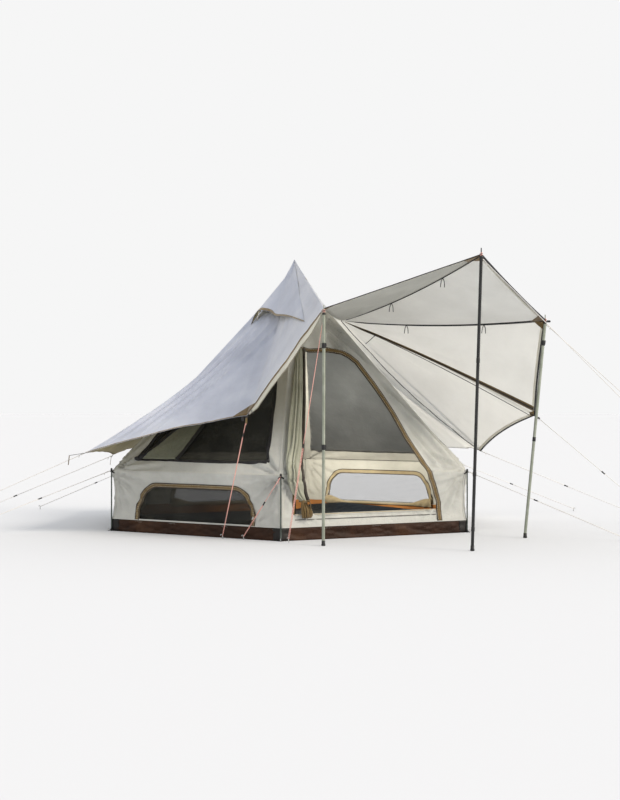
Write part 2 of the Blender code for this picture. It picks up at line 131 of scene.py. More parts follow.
# Cloth: a plain weave of two crossed threads, soft crumples between them, and slow changes of tone
# where the cloth has been folded and handled. Threads are drawn a few times wider than real ones,
# which would be far under a pixel.
def clothMaterial(name, base, shade, light, threadMm=2.4, roughness=0.85, sheen=0.25, crumple=0.006,
                  specular=0.3, through=0.0, glow="#ffffff"):
    material, tree, shader, room = newMaterial(name)
    threads = [wave(tree, source, 1000 / threadMm / 2) for source in clothAxes(tree)]
    weave = addNode(tree, "ShaderNodeMath", {0: threads[0], 1: threads[1]}, operation="MULTIPLY")
    handled = addNode(tree, "ShaderNodeTexNoise",
                      {"Vector": room, "Scale": 2.6, "Detail": 5.0, "Roughness": 0.62})
    tone = addNode(tree, "ShaderNodeValToRGB", {"Fac": handled}, [(0.30, shade), (0.52, base), (0.74, light)])
    slub = addNode(tree, "ShaderNodeTexNoise", {"Vector": room, "Scale": 95.0, "Detail": 2.0})
    fleck = addNode(tree, "ShaderNodeMix", {0: 0.16, 6: tone, 7: slub.outputs["Color"]},
                    data_type="RGBA", blend_type="SOFT_LIGHT")
    soft = addNode(tree, "ShaderNodeTexNoise",
                   {"Vector": room, "Scale": 13.0, "Detail": 5.0, "Roughness": 0.55, "Distortion": 0.6})
    creases = addNode(tree, "ShaderNodeBump", {"Height": soft, "Distance": crumple, "Strength": 0.8})
    cloth = addNode(tree, "ShaderNodeBump", {"Height": weave, "Distance": 0.0004, "Strength": 0.35,
                                             "Normal": creases})
    connect(tree, shader, {"Base Color": fleck.outputs[2], "Normal": cloth, "Roughness": roughness,
                           "Sheen Weight": sheen, "Sheen Roughness": 0.5, "Specular IOR Level": specular})
    if through:
        lit = addNode(tree, "ShaderNodeBsdfTranslucent", {"Color": hexColour(glow), "Normal": cloth})
        both = addNode(tree, "ShaderNodeMixShader", {0: through, 1: shader, 2: lit})
        connect(tree, tree.nodes["Material Output"], {"Surface": both})
    return material


# Mosquito netting: fine knitted polyester, so what lies behind shows darkly through it. Its 1 mm cells
# are far under a pixel, so most of it is an even veil and the knit is drawn coarse and faint.
def netMaterial(name, code, closed, cellMm=14.0):
    material, tree, shader, room = newMaterial(name)
    bars = [addNode(tree, "ShaderNodeMath", {0: wave(tree, source, 1000 / cellMm, "COSINE"), 1: 0.5, 2: 0.5},
                    operation="MULTIPLY_ADD") for source in clothAxes(tree)]
    knit = addNode(tree, "ShaderNodeMath", {0: bars[0], 1: bars[1]}, operation="MAXIMUM")
    alpha = addNode(tree, "ShaderNodeMapRange", {"Value": knit, "From Min": 0.9, "From Max": 1.0,
                                                 "To Min": closed, "To Max": min(1.0, closed + 0.2)})
    dust = addNode(tree, "ShaderNodeTexNoise", {"Vector": room, "Scale": 4.0, "Detail": 3.0})
    tone = addNode(tree, "ShaderNodeValToRGB", {"Fac": dust}, [(0.3, code), (0.8, "#3a3a34")])
    connect(tree, shader, {"Base Color": tone, "Alpha": alpha, "Roughness": 0.8, "Specular IOR Level": 0.2})
    return material


# Nylon webbing: tight ribs across the strap, with a dull shine on each
def webbingMaterial(name, base, light):
    material, tree, shader, room = newMaterial(name)
    ribs = wave(tree, clothAxes(tree)[1], 350)
    wear = addNode(tree, "ShaderNodeTexNoise", {"Vector": room, "Scale": 30.0, "Detail": 3.0})
    tone = addNode(tree, "ShaderNodeValToRGB", {"Fac": wear}, [(0.35, base), (0.75, light)])
    bump = addNode(tree, "ShaderNodeBump", {"Height": ribs, "Distance": 0.0005, "Strength": 0.6})
    connect(tree, shader, {"Base Color": tone, "Normal": bump, "Roughness": 0.6})
    return material


# Braided polyester guy line: two strands wind round each other, so light and dark flecks alternate
def ropeMaterial(name, base, fleck):
    material, tree, shader, room = newMaterial(name)
    around, along = clothAxes(tree)
    wide = addNode(tree, "ShaderNodeMath", {0: along, 1: math.tau * 70}, operation="MULTIPLY")
    wind = addNode(tree, "ShaderNodeMath", {0: around, 1: math.tau, 2: wide}, operation="MULTIPLY_ADD")
    strand = addNode(tree, "ShaderNodeMath", {0: wind}, operation="SINE")
    share = addNode(tree, "ShaderNodeMath", {0: strand, 1: 0.5, 2: 0.5}, operation="MULTIPLY_ADD")
    tone = addNode(tree, "ShaderNodeValToRGB", {"Fac": share}, [(0.35, base), (0.65, base), (0.85, fleck)])
    bump = addNode(tree, "ShaderNodeBump", {"Height": share, "Distance": 0.001, "Strength": 0.7})
    connect(tree, shader, {"Base Color": tone, "Normal": bump, "Roughness": 0.75})
    return material


# Drawn metal tube or moulded plastic: long faint drawing lines, small scuffs and a little dust
def hardMaterial(name, base, worn, roughness, metallic, grain=180.0, scuff=0.08):
    material, tree, shader, room = newMaterial(name)
    stretch = addNode(tree, "ShaderNodeMapping", {"Vector": room, "Scale": (1, 1, 0.06)})
    lines = addNode(tree, "ShaderNodeTexNoise", {"Vector": stretch, "Scale": grain, "Detail": 2.0})
    marks = addNode(tree, "ShaderNodeTexNoise",
                    {"Vector": room, "Scale": 9.0, "Detail": 6.0, "Roughness": 0.7})
    tone = addNode(tree, "ShaderNodeValToRGB", {"Fac": marks}, [(0.45, base), (0.78, worn)])
    rough = addNode(tree, "ShaderNodeMapRange", {"Value": marks, "To Min": roughness - scuff,
                                                 "To Max": roughness + scuff})
    bump = addNode(tree, "ShaderNodeBump", {"Height": lines, "Distance": 0.0002, "Strength": 0.3})
    connect(tree, shader, {"Base Color": tone, "Roughness": rough, "Normal": bump, "Metallic": metallic})
    return material


def makeMaterials():
    silver = ["#cbd2e5", "#bcc3d6", "#d9dfee"]
    silverFilm = {"threadMm": 1.6, "roughness": 0.42, "sheen": 0.1, "crumple": 0.005, "specular": 0.55}
    uncoated = {"threadMm": 1.6, "crumple": 0.005}
    tape = {"threadMm": 3.0, "crumple": 0.003}
    coated = {"threadMm": 3.2, "sheen": 0.0}
    made = {
        # Polycotton canvas, undyed and proofed: matt, warm grey, slightly uneven
        "canvas": clothMaterial("polycottonCanvas", "#cacbc6", "#bbbcb7", "#d7d8d3", crumple=0.012,
                                through=0.22, glow="#f5efdf"),
        # Silver-coated polyester: smooth and cool outside, with a soft shine along the folds
        "flyOuter": clothMaterial("silverCoatedPolyester", *silver, **silverFilm, through=0.3,
                                  glow="#f4f4f2"),
        "awningOuter": clothMaterial("silverAwningPolyester", *silver, **silverFilm, through=0.58),
        # The same cloth's uncoated side as a darker khaki copy of the pale side: painted shade on the fly's
        # left part and inside the hood. It is lit through from above
        "flyShadedInner": clothMaterial("khakiPaintedShadePolyester", "#8f8156", "#7a6d47", "#9e9066", threadMm=1.6,
                                  crumple=0.004, through=0.42, glow="#eadfb8"),
        "awningInner": clothMaterial("paleUncoatedPolyester", "#e1e0d8", "#d5d4cb", "#ebeae2", **uncoated,
                                     through=0.55, glow="#fffdf6"),
        # The header's inside: a darker grey copy of the pale cloth, painted shade
        "headerShadedInner": clothMaterial("greyPaintedShadePolyester", "#a9a99f", "#9b9b91", "#b8b8ae", **uncoated,
                                     through=0.25, glow="#f4f2ea"),
        # Khaki oxford binding round zips, windows and hems: heavier, browner, ribbed
        "binding": clothMaterial("khakiOxfordBinding", "#6e5a37", "#574629", "#86714a", **tape),
        # Inside, the window binding is a paler tape
        "innerBinding": clothMaterial("paleTwillTape", "#a89b80", "#968665", "#c2b38f", **tape),
        # PVC-coated oxford: dark brown, dull, with stiff creases
        "upstand": clothMaterial("brownCoatedOxford", "#341f12", "#20130a", "#4d3420", **coated,
                                 roughness=0.55, crumple=0.014, specular=0.18),
        # Its inside is painted orange: painted light of the sun shining through the brown cloth
        "upstandSunlitInner": clothMaterial("brownOxfordPaintedGlow", "#a66f3b", "#7d4f27", "#b1793f", threadMm=3.2,
                                      crumple=0.012),
        # Reinforcing patch of the same coated cloth in black
        "patch": clothMaterial("blackCoatedOxford", "#1a1613", "#110e0c", "#26211d", **coated, roughness=0.5,
                               crumple=0.008),
        # Polyethylene groundsheet: navy, slick, with soft ripples
        "ground": clothMaterial("navyPolyethylene", "#0e1721", "#080e15", "#172430", threadMm=5.0,
                                roughness=0.6, sheen=0.0, crumple=0.014, specular=0.25),
        "net": netMaterial("mosquitoNetting", "#3d454d", 0.18),
        # Grey cloth in place of the roof windows' net: a sheet of painted shade that lets a little light
        # through
        "shade": clothMaterial("greyPaintedShadeSheet", "#53575a", "#494d50", "#5e6265", threadMm=1.8, crumple=0.010,
                               through=0.12, glow="#c9ccc8"),
        # The same canvas, darker and greener: painted shade of the fly over it
        "shadedFlapCanvas": clothMaterial("flapCanvasPaintedShade", "#717464", "#636656", "#808373", crumple=0.010),
        # The front left windows' nets are darker and more closed: painted shade of the dark inside seen
        # through them
        "darkRoofNet": netMaterial("roofNettingPaintedShade", "#1d1e1b", 0.70),
        "darkWallNet": netMaterial("wallNettingPaintedShade", "#121313", 0.62),
        # The gathered door panel is a darker, greener copy of the canvas: painted shade where it hangs
        "panel": clothMaterial("panelCanvasPaintedShade", "#a8a997", "#929381", "#bdbead", crumple=0.012, through=0.2,
                               glow="#f0eede"),
        "blackWeb": webbingMaterial("blackNylonWebbing", "#16161a", "#2c2c30"),
        "rope": ropeMaterial("salmonGuyLine", "#d98c80", "#efd2c8"),
        "paleRope": ropeMaterial("paleGuyLine", "#c9c6c2", "#e9e7e3"),
        "cord": ropeMaterial("blackShockCord", "#1b1b1d", "#4a4a4c"),
        # Bonded polyester sewing thread: waxed, pale, a dull shine
        "thread": hardMaterial("bondedThread", "#e4dfcd", "#c9c3ae", 0.7, 0.0),
        # Anodised aluminium tube: grey-green film over bright metal
        "greyTube": hardMaterial("anodisedAluminium", "#8f9486", "#a9ada1", 0.38, 0.75),
        "darkTube": hardMaterial("darkAnodisedAluminium", "#4b524d", "#666d67", 0.42, 0.7),
        # Powder-coated steel: near black, orange-peel skin
        "blackTube": hardMaterial("blackPowderCoat", "#141516", "#2a2b2c", 0.45, 0.2, grain=60.0),
        # Moulded acetal: black, smooth, worn grey at the edges
        "plastic": hardMaterial("blackAcetal", "#08080a", "#1b1b1d", 0.5, 0.0, grain=60.0),
        # Zinc-plated wire: bright and cool, a little scuffed
        "steel": hardMaterial("zincPlatedSteel", "#a6a8a8", "#c0c2c1", 0.3, 0.95),
        "zip": hardMaterial("nylonCoilZip", "#2a241d", "#463c30", 0.5, 0.0, grain=80.0),
    }
    print("materials:", len(made))
    return made


finishes = makeMaterials()
makeCamera()


# Sides of the tent: across runs to the right as seen from outside, along runs up the wall and on up the roof
def cornerPoint(index, radius=cornerRadius):
    turn = math.radians(60 * index)
    return Vector((math.cos(turn), math.sin(turn), 0)) * radius


def sideAxes(index):
    start, end = cornerPoint(index), cornerPoint(index + 1)
    middle = (start + end) / 2
    rightward = (end - start).normalized()
    slope = (up * roofPeak - middle - up * eave).normalized()
    return middle, rightward, middle.normalized(), slope, rightward.cross(slope)


axes = [sideAxes(index) for index in range(6)]


def halfWidth(along):
    return cornerRadius / 2 * (1 - max(0.0, along - eave) / slopeLength)


def ease(value):
    value = min(1.0, max(0.0, value))
    return value * value * (3 - 2 * value)


def shares(count):
    return [i / count for i in range(count + 1)]


def circle(count):
    return [math.tau * i / count for i in range(count)]


# How the canvas hangs: walls bow in between the eave and the pegs, roof sides sag between the hips, folds
# run out from each eave ring and window foot, and those of the door side fan out from the doorway's top.
# Each pair of fold turns is how many folds lie round a full circle, coarse and fine.
hang = {"wallBow": 0.026, "roofSag": 0.024, "ringFold": 0.029, "cornerFold": 0.010, "foldReach": 0.30,
        "foldTurns": (17, 31), "crumple": 0.016, "ripple": 0.008, "fan": (-0.05, 2.75), "fanFold": 0.028,
        "fanTurns": (70, 127)}


def canvasLift(index, across, along):
    edge = 1 - min(1.0, abs(across) / halfWidth(along))
    lift = 0.0
    if along > eave:
        lift -= hang["roofSag"] * ease(edge * 2) * math.sin(math.pi * min(1, (along - eave) / slopeLength))
    coarse, fine = hang["foldTurns"]
    for side in (-1, 1):
        for x, y, depth in ((cornerRadius / 2, eave, hang["ringFold"]),
                            (window["half"] + 0.02, window["low"], hang["cornerFold"])):
            reachX, reachY = across - side * x, along - y
            distance, bearing = math.hypot(reachX, reachY), math.atan2(reachY, -side * reachX)
            fold = math.cos(coarse * bearing + index + side) + 0.6 * math.cos(fine * bearing + 2 * index)
            lift += depth * fold * math.exp(-distance / hang["foldReach"]) * ease(distance / 0.06)
    if index == doorSide and across > -0.2:
        reachX, reachY = across - hang["fan"][0], hang["fan"][1] - along
        distance, bearing = math.hypot(reachX, reachY), math.atan2(reachX, reachY)
        coarse, fine = hang["fanTurns"]
        fold = math.cos(coarse * bearing + 1.3) + 0.6 * math.cos(fine * bearing + 0.4)
        fold *= ease((bearing - 0.08) / 0.1) * ease(distance / 0.5) * ease((along - 0.5) / 0.4)
        lift += hang["fanFold"] * fold * ease((across - doorRight(along) - 0.045) / 0.07)
    lift += hang["crumple"] * noise.noise(Vector((across * 3.1, along * 3.1, index * 9.7)))
    small = noise.noise(Vector((across * 11 + along * 5, along * 6, index * 4.3)))
    lift += hang["ripple"] * small * (1 if along < eave else 0.45)
    if index == doorSide:
        gap = min(abs(across - doorRight(along)), abs(across - doorLeft(along)))
        lift *= 0.2 + 0.8 * ease(gap / 0.10)
    nearEave = ease(abs(along - eave) / 0.05)
    nearFloor = ease((along - upstandTop - 0.012) / 0.08)
    return lift * ease(edge * cornerRadius / 2 / 0.07 * halfWidth(along)) * nearEave * nearFloor


def canvasPoint(index, across, along, lift=0.0):
    middle, rightward, outward, slope, roofOut = axes[index]
    point = middle + rightward * across + up * min(along, eave) + slope * max(0.0, along - eave)
    point += (outward if along <= eave else roofOut) * (canvasLift(index, across, along) + lift)
    if upstandTop < along < eave:
        share = (along - upstandTop) / (eave - upstandTop)
        bow = 1 - hang["wallBow"] / cornerRadius * math.sin(math.pi * share)
        point.x *= bow
        point.y *= bow
    return point


# Openings, as across and along on their side
window = {"half": 0.67, "low": 0.125, "high": 0.445, "cornerWidth": 0.20, "cornerHeight": 0.27, "trim": 0.048}
roofNet = {"low": 0.15, "high": 1.60, "halfLow": 0.785, "halfHigh": 0.27, "tape": 0.032, "flapTop": 2.0,
           "flapBeyond": 0.065}
roofNet["slant"] = (roofNet["halfLow"] - roofNet["halfHigh"]) / (roofNet["high"] - roofNet["low"])
door = {
    "sill": 0.236,
    "leftMargin": 0.14,
    "right": [(0.715, 0.236), (0.72, 0.30), (0.676, 0.43), (0.60, 0.59), (0.545, 0.84), (0.505, 1.04),
              (0.474, 1.341), (0.392, 1.73), (0.308, 2.018), (0.25, 2.10), (0.181, 2.155), (0.08, 2.185),
              (0.017, 2.19)],
    "topLeft": (-0.25, 2.19),
    "topStart": 2.13,
    "foot": (0.714, 0.127),
    "trim": 0.052,
    # The trim laps over the edge of the opening
    "lap": -0.042,
}
doorEdge = [door["foot"]] + door["right"] + [door["topLeft"]]


def windowArch(grow=0.0):
    half, high = window["half"] + grow, window["high"] + grow
    wide, tall = window["cornerWidth"] + grow, window["cornerHeight"] + grow
    turns = [(side, math.pi / 2 * (start + share)) for side, start in ((1, 0), (-1, 1))
             for share in shares(9)]
    arcs = [(side * (half - wide) + wide * math.cos(turn), high - tall + tall * math.sin(turn))
            for side, turn in turns]
    return [(half, window["low"])] + arcs + [(-half, window["low"])]


def netOutline(grow=0.0):
    low, high = roofNet["low"] - grow, roofNet["high"] + grow
    wide = grow * math.hypot(1, roofNet["slant"])
    halfLow = roofNet["halfLow"] + wide + grow * roofNet["slant"]
    halfHigh = roofNet["halfHigh"] + wide - grow * roofNet["slant"]
    return [(-halfLow, eave + low), (halfLow, eave + low), (halfHigh, eave + high), (-halfHigh, eave + high)]


def doorLeft(along):
    return door["leftMargin"] - halfWidth(along)


def doorRight(along):
    for (x1, y1), (x2, y2) in zip(door["right"], door["right"][1:]):
        if along <= y2:
            return x1 + (x2 - x1) * (along - y1) / (y2 - y1)
    return door["right"][-1][0]


def doorOutline():
    left = [(doorLeft(h), h) for h in (door["topStart"], eave)] + [(doorLeft(eave), door["sill"])]
    return door["right"] + [door["topLeft"]] + left


def insidePolygon(x, y, outline):
    inside = False
    for (x1, y1), (x2, y2) in zip(outline, outline[1:] + outline[:1]):
        if (y1 > y) != (y2 > y) and x < (x2 - x1) * (y - y1) / (y2 - y1) + x1:
            inside = not inside
    return inside


def bounds2d(points):
    xs, ys = [p[0] for p in points], [p[1] for p in points]
    return min(xs), max(xs), min(ys), max(ys)


# A flat cloth grid on one side, cut along outlines, then laid on the tent
def cutGrid(bm, outline, keepInside):
    for (x1, y1), (x2, y2) in zip(outline, outline[1:] + outline[:1]):
        left, right, low, high = bounds2d([(x1, y1), (x2, y2)])
        near = []
        for face in bm.faces:
            box = bounds2d([v.co for v in face.verts])
            if (box[1] >= left - 1e-4 and box[0] <= right + 1e-4
                    and box[3] >= low - 1e-4 and box[2] <= high + 1e-4):
                near.append(face)
        geometry = set(near)
        for face in near:
            geometry.update(face.edges)
            geometry.update(face.verts)
        bmesh.ops.bisect_plane(bm, geom=list(geometry), dist=1e-6, plane_co=(x1, y1, 0),
                               plane_no=(y2 - y1, x1 - x2, 0))
    drop = [f for f in bm.faces if insidePolygon(*f.calc_center_median().xy, outline) != keepInside]
    bmesh.ops.delete(bm, geom=drop, context="FACES")


def gridFromRows(rows):
    bm = bmesh.new()
    verts = [[bm.verts.new((x, y, 0)) for x, y in row] for row in rows]
    for low, high in zip(verts, verts[1:]):
        for i in range(len(low) - 1):
            bm.faces.new((low[i], low[i + 1], high[i + 1], high[i]))
    return bm


def sideRows(columns, cell):
    low = upstandTop - 0.012
    top = eave + slopeLength * (1 - tent["hubHole"] / apothem)
    heights = [low + (eave - low) * share for share in shares(round((eave - low) / cell))[:-1]]
    heights += [eave + (top - eave) * share for share in shares(round((top - eave) / cell))]
    return [[((2 * share - 1) * halfWidth(h), h) for share in shares(columns)] for h in heights]


def boxRows(outline, cell):
    left, right, low, high = bounds2d(outline)
    across, along = max(2, round((right - left) / cell)), max(2, round((high - low) / cell))
    return [[(left + (right - left) * c, low + (high - low) * r) for c in shares(across)]
            for r in shares(along)]


def flatArea(bm):
    return sum(face.calc_area() for face in bm.faces)


def finishSheet(name, bm, keys, thickness, inner=0):
    piece = meshObject(name, bm, [finishes[key] for key in keys])
    solidify = piece.modifiers.new("thickness", "SOLIDIFY")
    solidify.thickness, solidify.offset = thickness, 0
    solidify.material_offset, solidify.material_offset_rim = inner, 0
    return piece


def finishCloth(name, bm, placed, key, thickness):
    uv = bm.loops.layers.uv.new("cloth")
    for face in bm.faces:
        face.smooth = True
        for loop in face.loops:
            loop[uv].uv = loop.vert.co.xy
    area = flatArea(bm)
    for vert in bm.verts:
        vert.co = placed(vert.co.x, vert.co.y)
    bmesh.ops.triangulate(bm, faces=[f for f in bm.faces if len(f.verts) > 4])
    return finishSheet(name, bm, [key], thickness), area


def register(piece, slot, *nodes):
    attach(piece, "root")
    if nodes:
        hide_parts(*nodes)
    return piece


def makeTrim(name, bm, keys, slot, *nodes):
    bmesh.ops.recalc_face_normals(bm, faces=bm.faces)
    return register(meshObject(name, bm, [finishes[key] for key in keys]), slot, *nodes)


# A smooth curve from one point or number to the next, bent by the ones before and after
def curve(before, start, end, after, t):
    return 0.5 * (2 * start + (end - before) * t + (2 * before - 5 * start + 4 * end - after) * t * t
                  + (3 * start - before - 3 * end + after) * t ** 3)


# Ribbons and tubes
def smoothPath(points, spacing=0.03):
    out = []
    for i, (a, b) in enumerate(zip(points, points[1:])):
        before = points[i - 1] if i else a * 2 - b
        after = points[i + 2] if i + 2 < len(points) else b * 2 - a
        steps = max(1, round((b - a).length / spacing))
        out += [curve(before, a, b, after, t) for t in shares(steps)[:-1]]
    return out + [points[-1].copy()]


def straightPath(points, spacing=0.03):
    out = []
    for a, b in zip(points, points[1:]):
        out += [a.lerp(b, share) for share in shares(max(1, round((b - a).length / spacing)))[:-1]]
    return out + [points[-1].copy()]


def addTube(bm, path, radius, sides=8, slot=0, radii=None, closed=False, squash=1.0, guide=None):
    uv = bm.loops.layers.uv.get("cloth") or bm.loops.layers.uv.new("cloth")
    count = len(path)
    steps = range(count if closed else count - 1)
    tangents = []
    for i in range(count):
        ahead = path[(i + 1) % count] if closed or i + 1 < count else path[i]
        behind = path[i - 1] if closed or i else path[i]
        tangents.append((ahead - behind).normalized())
    side = (guide or up).cross(tangents[0])
    if side.length < 0.05:
        side = Vector((1, 0, 0)).cross(tangents[0])
    side.normalize()
    rings, lengths = [], [0.0]
    for i, (point, tangent) in enumerate(zip(path, tangents)):
        if i:
            lengths.append(lengths[-1] + (point - path[i - 1]).length)
        side = (guide.cross(tangent) if guide else side - tangent * side.dot(tangent)).normalized()
        other = tangent.cross(side) * squash
        size = radius * (radii[i] if radii else 1)
        rings.append([bm.verts.new(point + (side * math.cos(a) + other * math.sin(a)) * size)
                      for a in circle(sides)])
    for i in steps:
        low, high = rings[i], rings[(i + 1) % count]
        start, end = lengths[i], lengths[min(i + 1, count - 1)]
        for s in range(sides):
            t = (s + 1) % sides
            face = bm.faces.new((low[s], low[t], high[t], high[s]))
            face.smooth = True
            face.material_index = slot
            for loop, (turn, run) in zip(face.loops, ((s, start), (s + 1, start), (s + 1, end), (s, end))):
                loop[uv].uv = (turn / sides, run)
    if not closed:
        for ring in (rings[0][::-1], rings[-1]):
            bm.faces.new(ring).material_index = slot


def addTurned(bm, start, end, profile, sides=20, slot=0):
    path = [start.lerp(end, place) for place, radius in profile]
    addTube(bm, path, 1.0, sides=sides, slot=slot, radii=[radius for place, radius in profile])


# A ribbon on a surface: spots are its middle line, and ways say how far on the surface a metre of its
# width reaches there. Below turns it to the other face of the cloth.
def addRibbon(bm, surface, spots, ways, width, lift=0.0, below=False, spacing=0.02, slot=0, columns=4,
              thickness=0.0025, crown=0.0):
    uv = bm.loops.layers.uv.get("cloth") or bm.loops.layers.uv.new("cloth")
    face = -1 if below else 1
    rows = []
    for (u, v), (wideU, wideV) in zip(spots, ways):
        row = []
        for c in range(columns + 1):
            shift = width * (c / columns - 0.5)
            arch = crown * (1 - (2 * c / columns - 1) ** 2)
            row.append([bm.verts.new(surface(u + wideU * shift, v + wideV * shift, face * (lift + height)))
                        for height in (thickness + arch, 0.0)])
        rows.append(row)
    for i, (a, b) in enumerate(zip(rows, rows[1:])):
        faces = []
        for c in range(columns):
            faces.append(((a[c][0], a[c + 1][0], b[c + 1][0], b[c][0]), (c, c + 1, c + 1, c)))
            faces.append(((b[c][1], b[c + 1][1], a[c + 1][1], a[c][1]), (c, c + 1, c + 1, c)))
        faces.append(((a[0][1], a[0][0], b[0][0], b[0][1]), (0, 0, 0, 0)))
        faces.append(((a[-1][0], a[-1][1], b[-1][1], b[-1][0]), (columns,) * 4))
        for verts, cols in faces:
            made = bm.faces.new(verts)
            made.material_index = slot
            made.smooth = True
            for loop, col in zip(made.loops, cols):
                far = any(loop.vert in pair for pair in b)
                loop[uv].uv = (width * col / columns, spacing * (i + far))
    for row, turn in ((rows[0], 1), (rows[-1], -1)):
        for a, b in zip(row, row[1:]):
            bm.faces.new((a[1], b[1], b[0], a[0])[::turn]).material_index = slot


def path2d(points, spacing=0.02):
    out = [points[0]]
    for (x1, y1), (x2, y2) in zip(points, points[1:]):
        steps = max(1, round(math.hypot(x2 - x1, y2 - y1) / spacing))
        out += [(x1 + (x2 - x1) * share, y1 + (y2 - y1) * share) for share in shares(steps)[1:]]
    return out


def normals2d(path):
    out = []
    for a, b in zip(path[:1] + path, path[1:] + path[-1:]):
        dx, dy = b[0] - a[0], b[1] - a[1]
        size = math.hypot(dx, dy) or 1
        out.append((dy / size, -dx / size))
    return out


# The points of a path on one side, shifted sideways off it
def shiftedPath(points, out, spacing=0.02):
    route = path2d(points, spacing)
    sideways = normals2d(route)
    return [(x + nx * out, y + ny * out) for (x, y), (nx, ny) in zip(route, sideways)], sideways


def addTape(bm, index, path, width, out=0.0, lift=0.0025, **ribbon):
    addRibbon(bm, lambda x, y, height: canvasPoint(index, x, y, height), *shiftedPath(path, out), width,
              lift=lift, **ribbon)


# Floor: groundsheet inside, and the coated edge that stands up round it with a black patch at each corner.
# The sheet is rucked up beside the back right wall.
floor = {"inset": 0.006, "rings": 44, "steps": 26, "thickness": 0.003, "ripple": 0.007, "ruck": 0.12,
         "ruckCorner": 1, "ruckSide": 0, "ruckWidth": 0.32, "edgeThickness": 0.004, "crease": 0.017,
         "edgeTop": upstandTop + 0.006, "patchHalf": 0.085, "patchLift": 0.0022}


def groundPoint(x, y):
    spot = Vector((x, y, 0))
    edge = 1 - max(spot.dot(side[2]) for side in axes) / apothem
    ripple = noise.noise(Vector((x * 2.4, y * 2.4, 3))) + 0.5 * noise.noise(Vector((x * 7, y * 5, 8)))
    away = cornerPoint(floor["ruckCorner"]) - spot
    along, inward = away.dot(axes[floor["ruckSide"]][1]), away.dot(axes[floor["ruckSide"]][2])
    ruck = floor["ruck"] * max(0.0, min(0.5 + 0.9 * along, 1.27 - 0.5 * along))
    ruck *= ease(along / 0.08) * ease(1 - inward / floor["ruckWidth"])
    ruck *= ease(edge * 30) * ease((2 - along) / 0.1)
    return Vector((x, y, floor["thickness"] + floor["ripple"] * (0.7 + ripple) * ease(edge * 8) + ruck))


def makeGroundsheet():
    bm = bmesh.new()
    inner = cornerRadius - floor["inset"]
    centre = bm.verts.new((0, 0, 0))
    loops = []
    for ring in shares(floor["rings"])[1:]:
        spots = [cornerPoint(side, 1).lerp(cornerPoint(side + 1, 1), share) * inner * ring
                 for side in range(6) for share in shares(floor["steps"])[:-1]]
        loops.append([bm.verts.new(spot) for spot in spots])
    count = len(loops[0])
    for i in range(count):
        j = (i + 1) % count
        bm.faces.new((centre, loops[0][i], loops[0][j]))
        for a, b in zip(loops, loops[1:]):
            bm.faces.new((a[i], b[i], b[j], a[j]))
    piece, area = finishCloth("floor_sheet", bm, groundPoint, "ground", floor["thickness"])
    register(piece, "groundsheet", "groundsheet")


def upstandPoint(index, across, height, lift=0.0):
    middle, rightward, outward = axes[index][:3]
    edge = 1 - abs(across) / (cornerRadius / 2)
    slant = 0.5 - 2.4 * abs(noise.noise(Vector((across * 6 + height * 24, height * 5, index * 3.1))))
    slant += 0.35 - 1.5 * abs(noise.noise(Vector((across * 10 - height * 30, height * 6, index * 5.7 + 2))))
    crease = floor["crease"] * slant * ease(edge * 9) * ease(height / 0.03)
    crease *= ease((upstandTop - 0.006 - height) / 0.035)
    return middle + rightward * across + up * height + outward * (crease + lift)


def makeUpstand():
    bm = bmesh.new()
    uv = bm.loops.layers.uv.new("cloth")
    columns, rows = 84, 8
    high = floor["edgeTop"]
    for index in range(6):
        grid = [[bm.verts.new(upstandPoint(index, cornerRadius * (c - 0.5), high * r)) for r in shares(rows)]
                for c in shares(columns)]
        for c in range(columns):
            for r in range(rows):
                face = bm.faces.new((grid[c][r], grid[c + 1][r], grid[c + 1][r + 1], grid[c][r + 1]))
                face.smooth = True
                for loop, (i, j) in zip(face.loops, ((c, r), (c + 1, r), (c + 1, r + 1), (c, r + 1))):
                    loop[uv].uv = ((index + i / columns) * cornerRadius, high * j / rows)
    bmesh.ops.remove_doubles(bm, verts=bm.verts, dist=0.0005)
    # The edge's inside takes the orange copy: painted light of the sun through the cloth
    edge = finishSheet("floor_edge", bm, ["upstand", "upstandSunlitInner"], floor["edgeThickness"], 1)
    register(edge, "upstand", "floor_upstand")

    bm = bmesh.new()
    for index in range(6):
        for side in (-1, 1):
            across = [side * (cornerRadius / 2 - floor["patchHalf"] * share) for share in shares(6)][::-side]
            addRibbon(bm, lambda x, y, lift: upstandPoint(index, x, y, lift),
                      [(x, high / 2 + 0.001) for x in across], [(0, 1)] * 7, high - 0.004,
                      lift=floor["patchLift"], columns=6, thickness=0.0018)
    patches = makeTrim("corner_patches", bm, ["patch"], "upstand")

    bm = bmesh.new()
    for index in range(6):
        half = cornerRadius / 2 - 0.004
        addTape(bm, index, [(-half, high + 0.004), (half, high + 0.004)], 0.014, lift=0.0034,
                thickness=0.0018)
    hem = makeTrim("wall_hem", bm, ["canvas"], "canvas")


makeGroundsheet()
makeUpstand()
print("floor done")


# Canvas of the six sides, with windows, nets and tapes
canvas = {"cell": 0.02, "columns": 90, "thickness": 0.0024, "netThickness": 0.0012, "seam": 0.014,
          "seamTape": {"width": 0.02, "lift": 0.0012, "thickness": 0.0014}, "eaveEnd": 0.98,
          # How far the net, the shade behind the roof window and the dark net hang inside the canvas
          "behind": {"net": 0.002, "shade": 0.012, "darkRoofNet": 0.004},
          # A declared area is at least this share of width x length, though the openings leave less cloth
          "leastShare": 0.301}


def layCloth(name, index, outline, cell, lift, key, thickness, sag=0.0):
    bm = gridFromRows(boxRows(outline, cell))
    cutGrid(bm, outline, True)
    left, right, low, high = bounds2d(outline)

    def place(x, y):
        belly = max(0.0, 1 - ((2 * x - left - right) / (right - left)) ** 2)
        belly *= max(0.0, 1 - ((2 * y - low - high) / (high - low)) ** 2)
        return canvasPoint(index, x, y, lift - sag * belly)
    return finishCloth(name, bm, place, key, thickness)


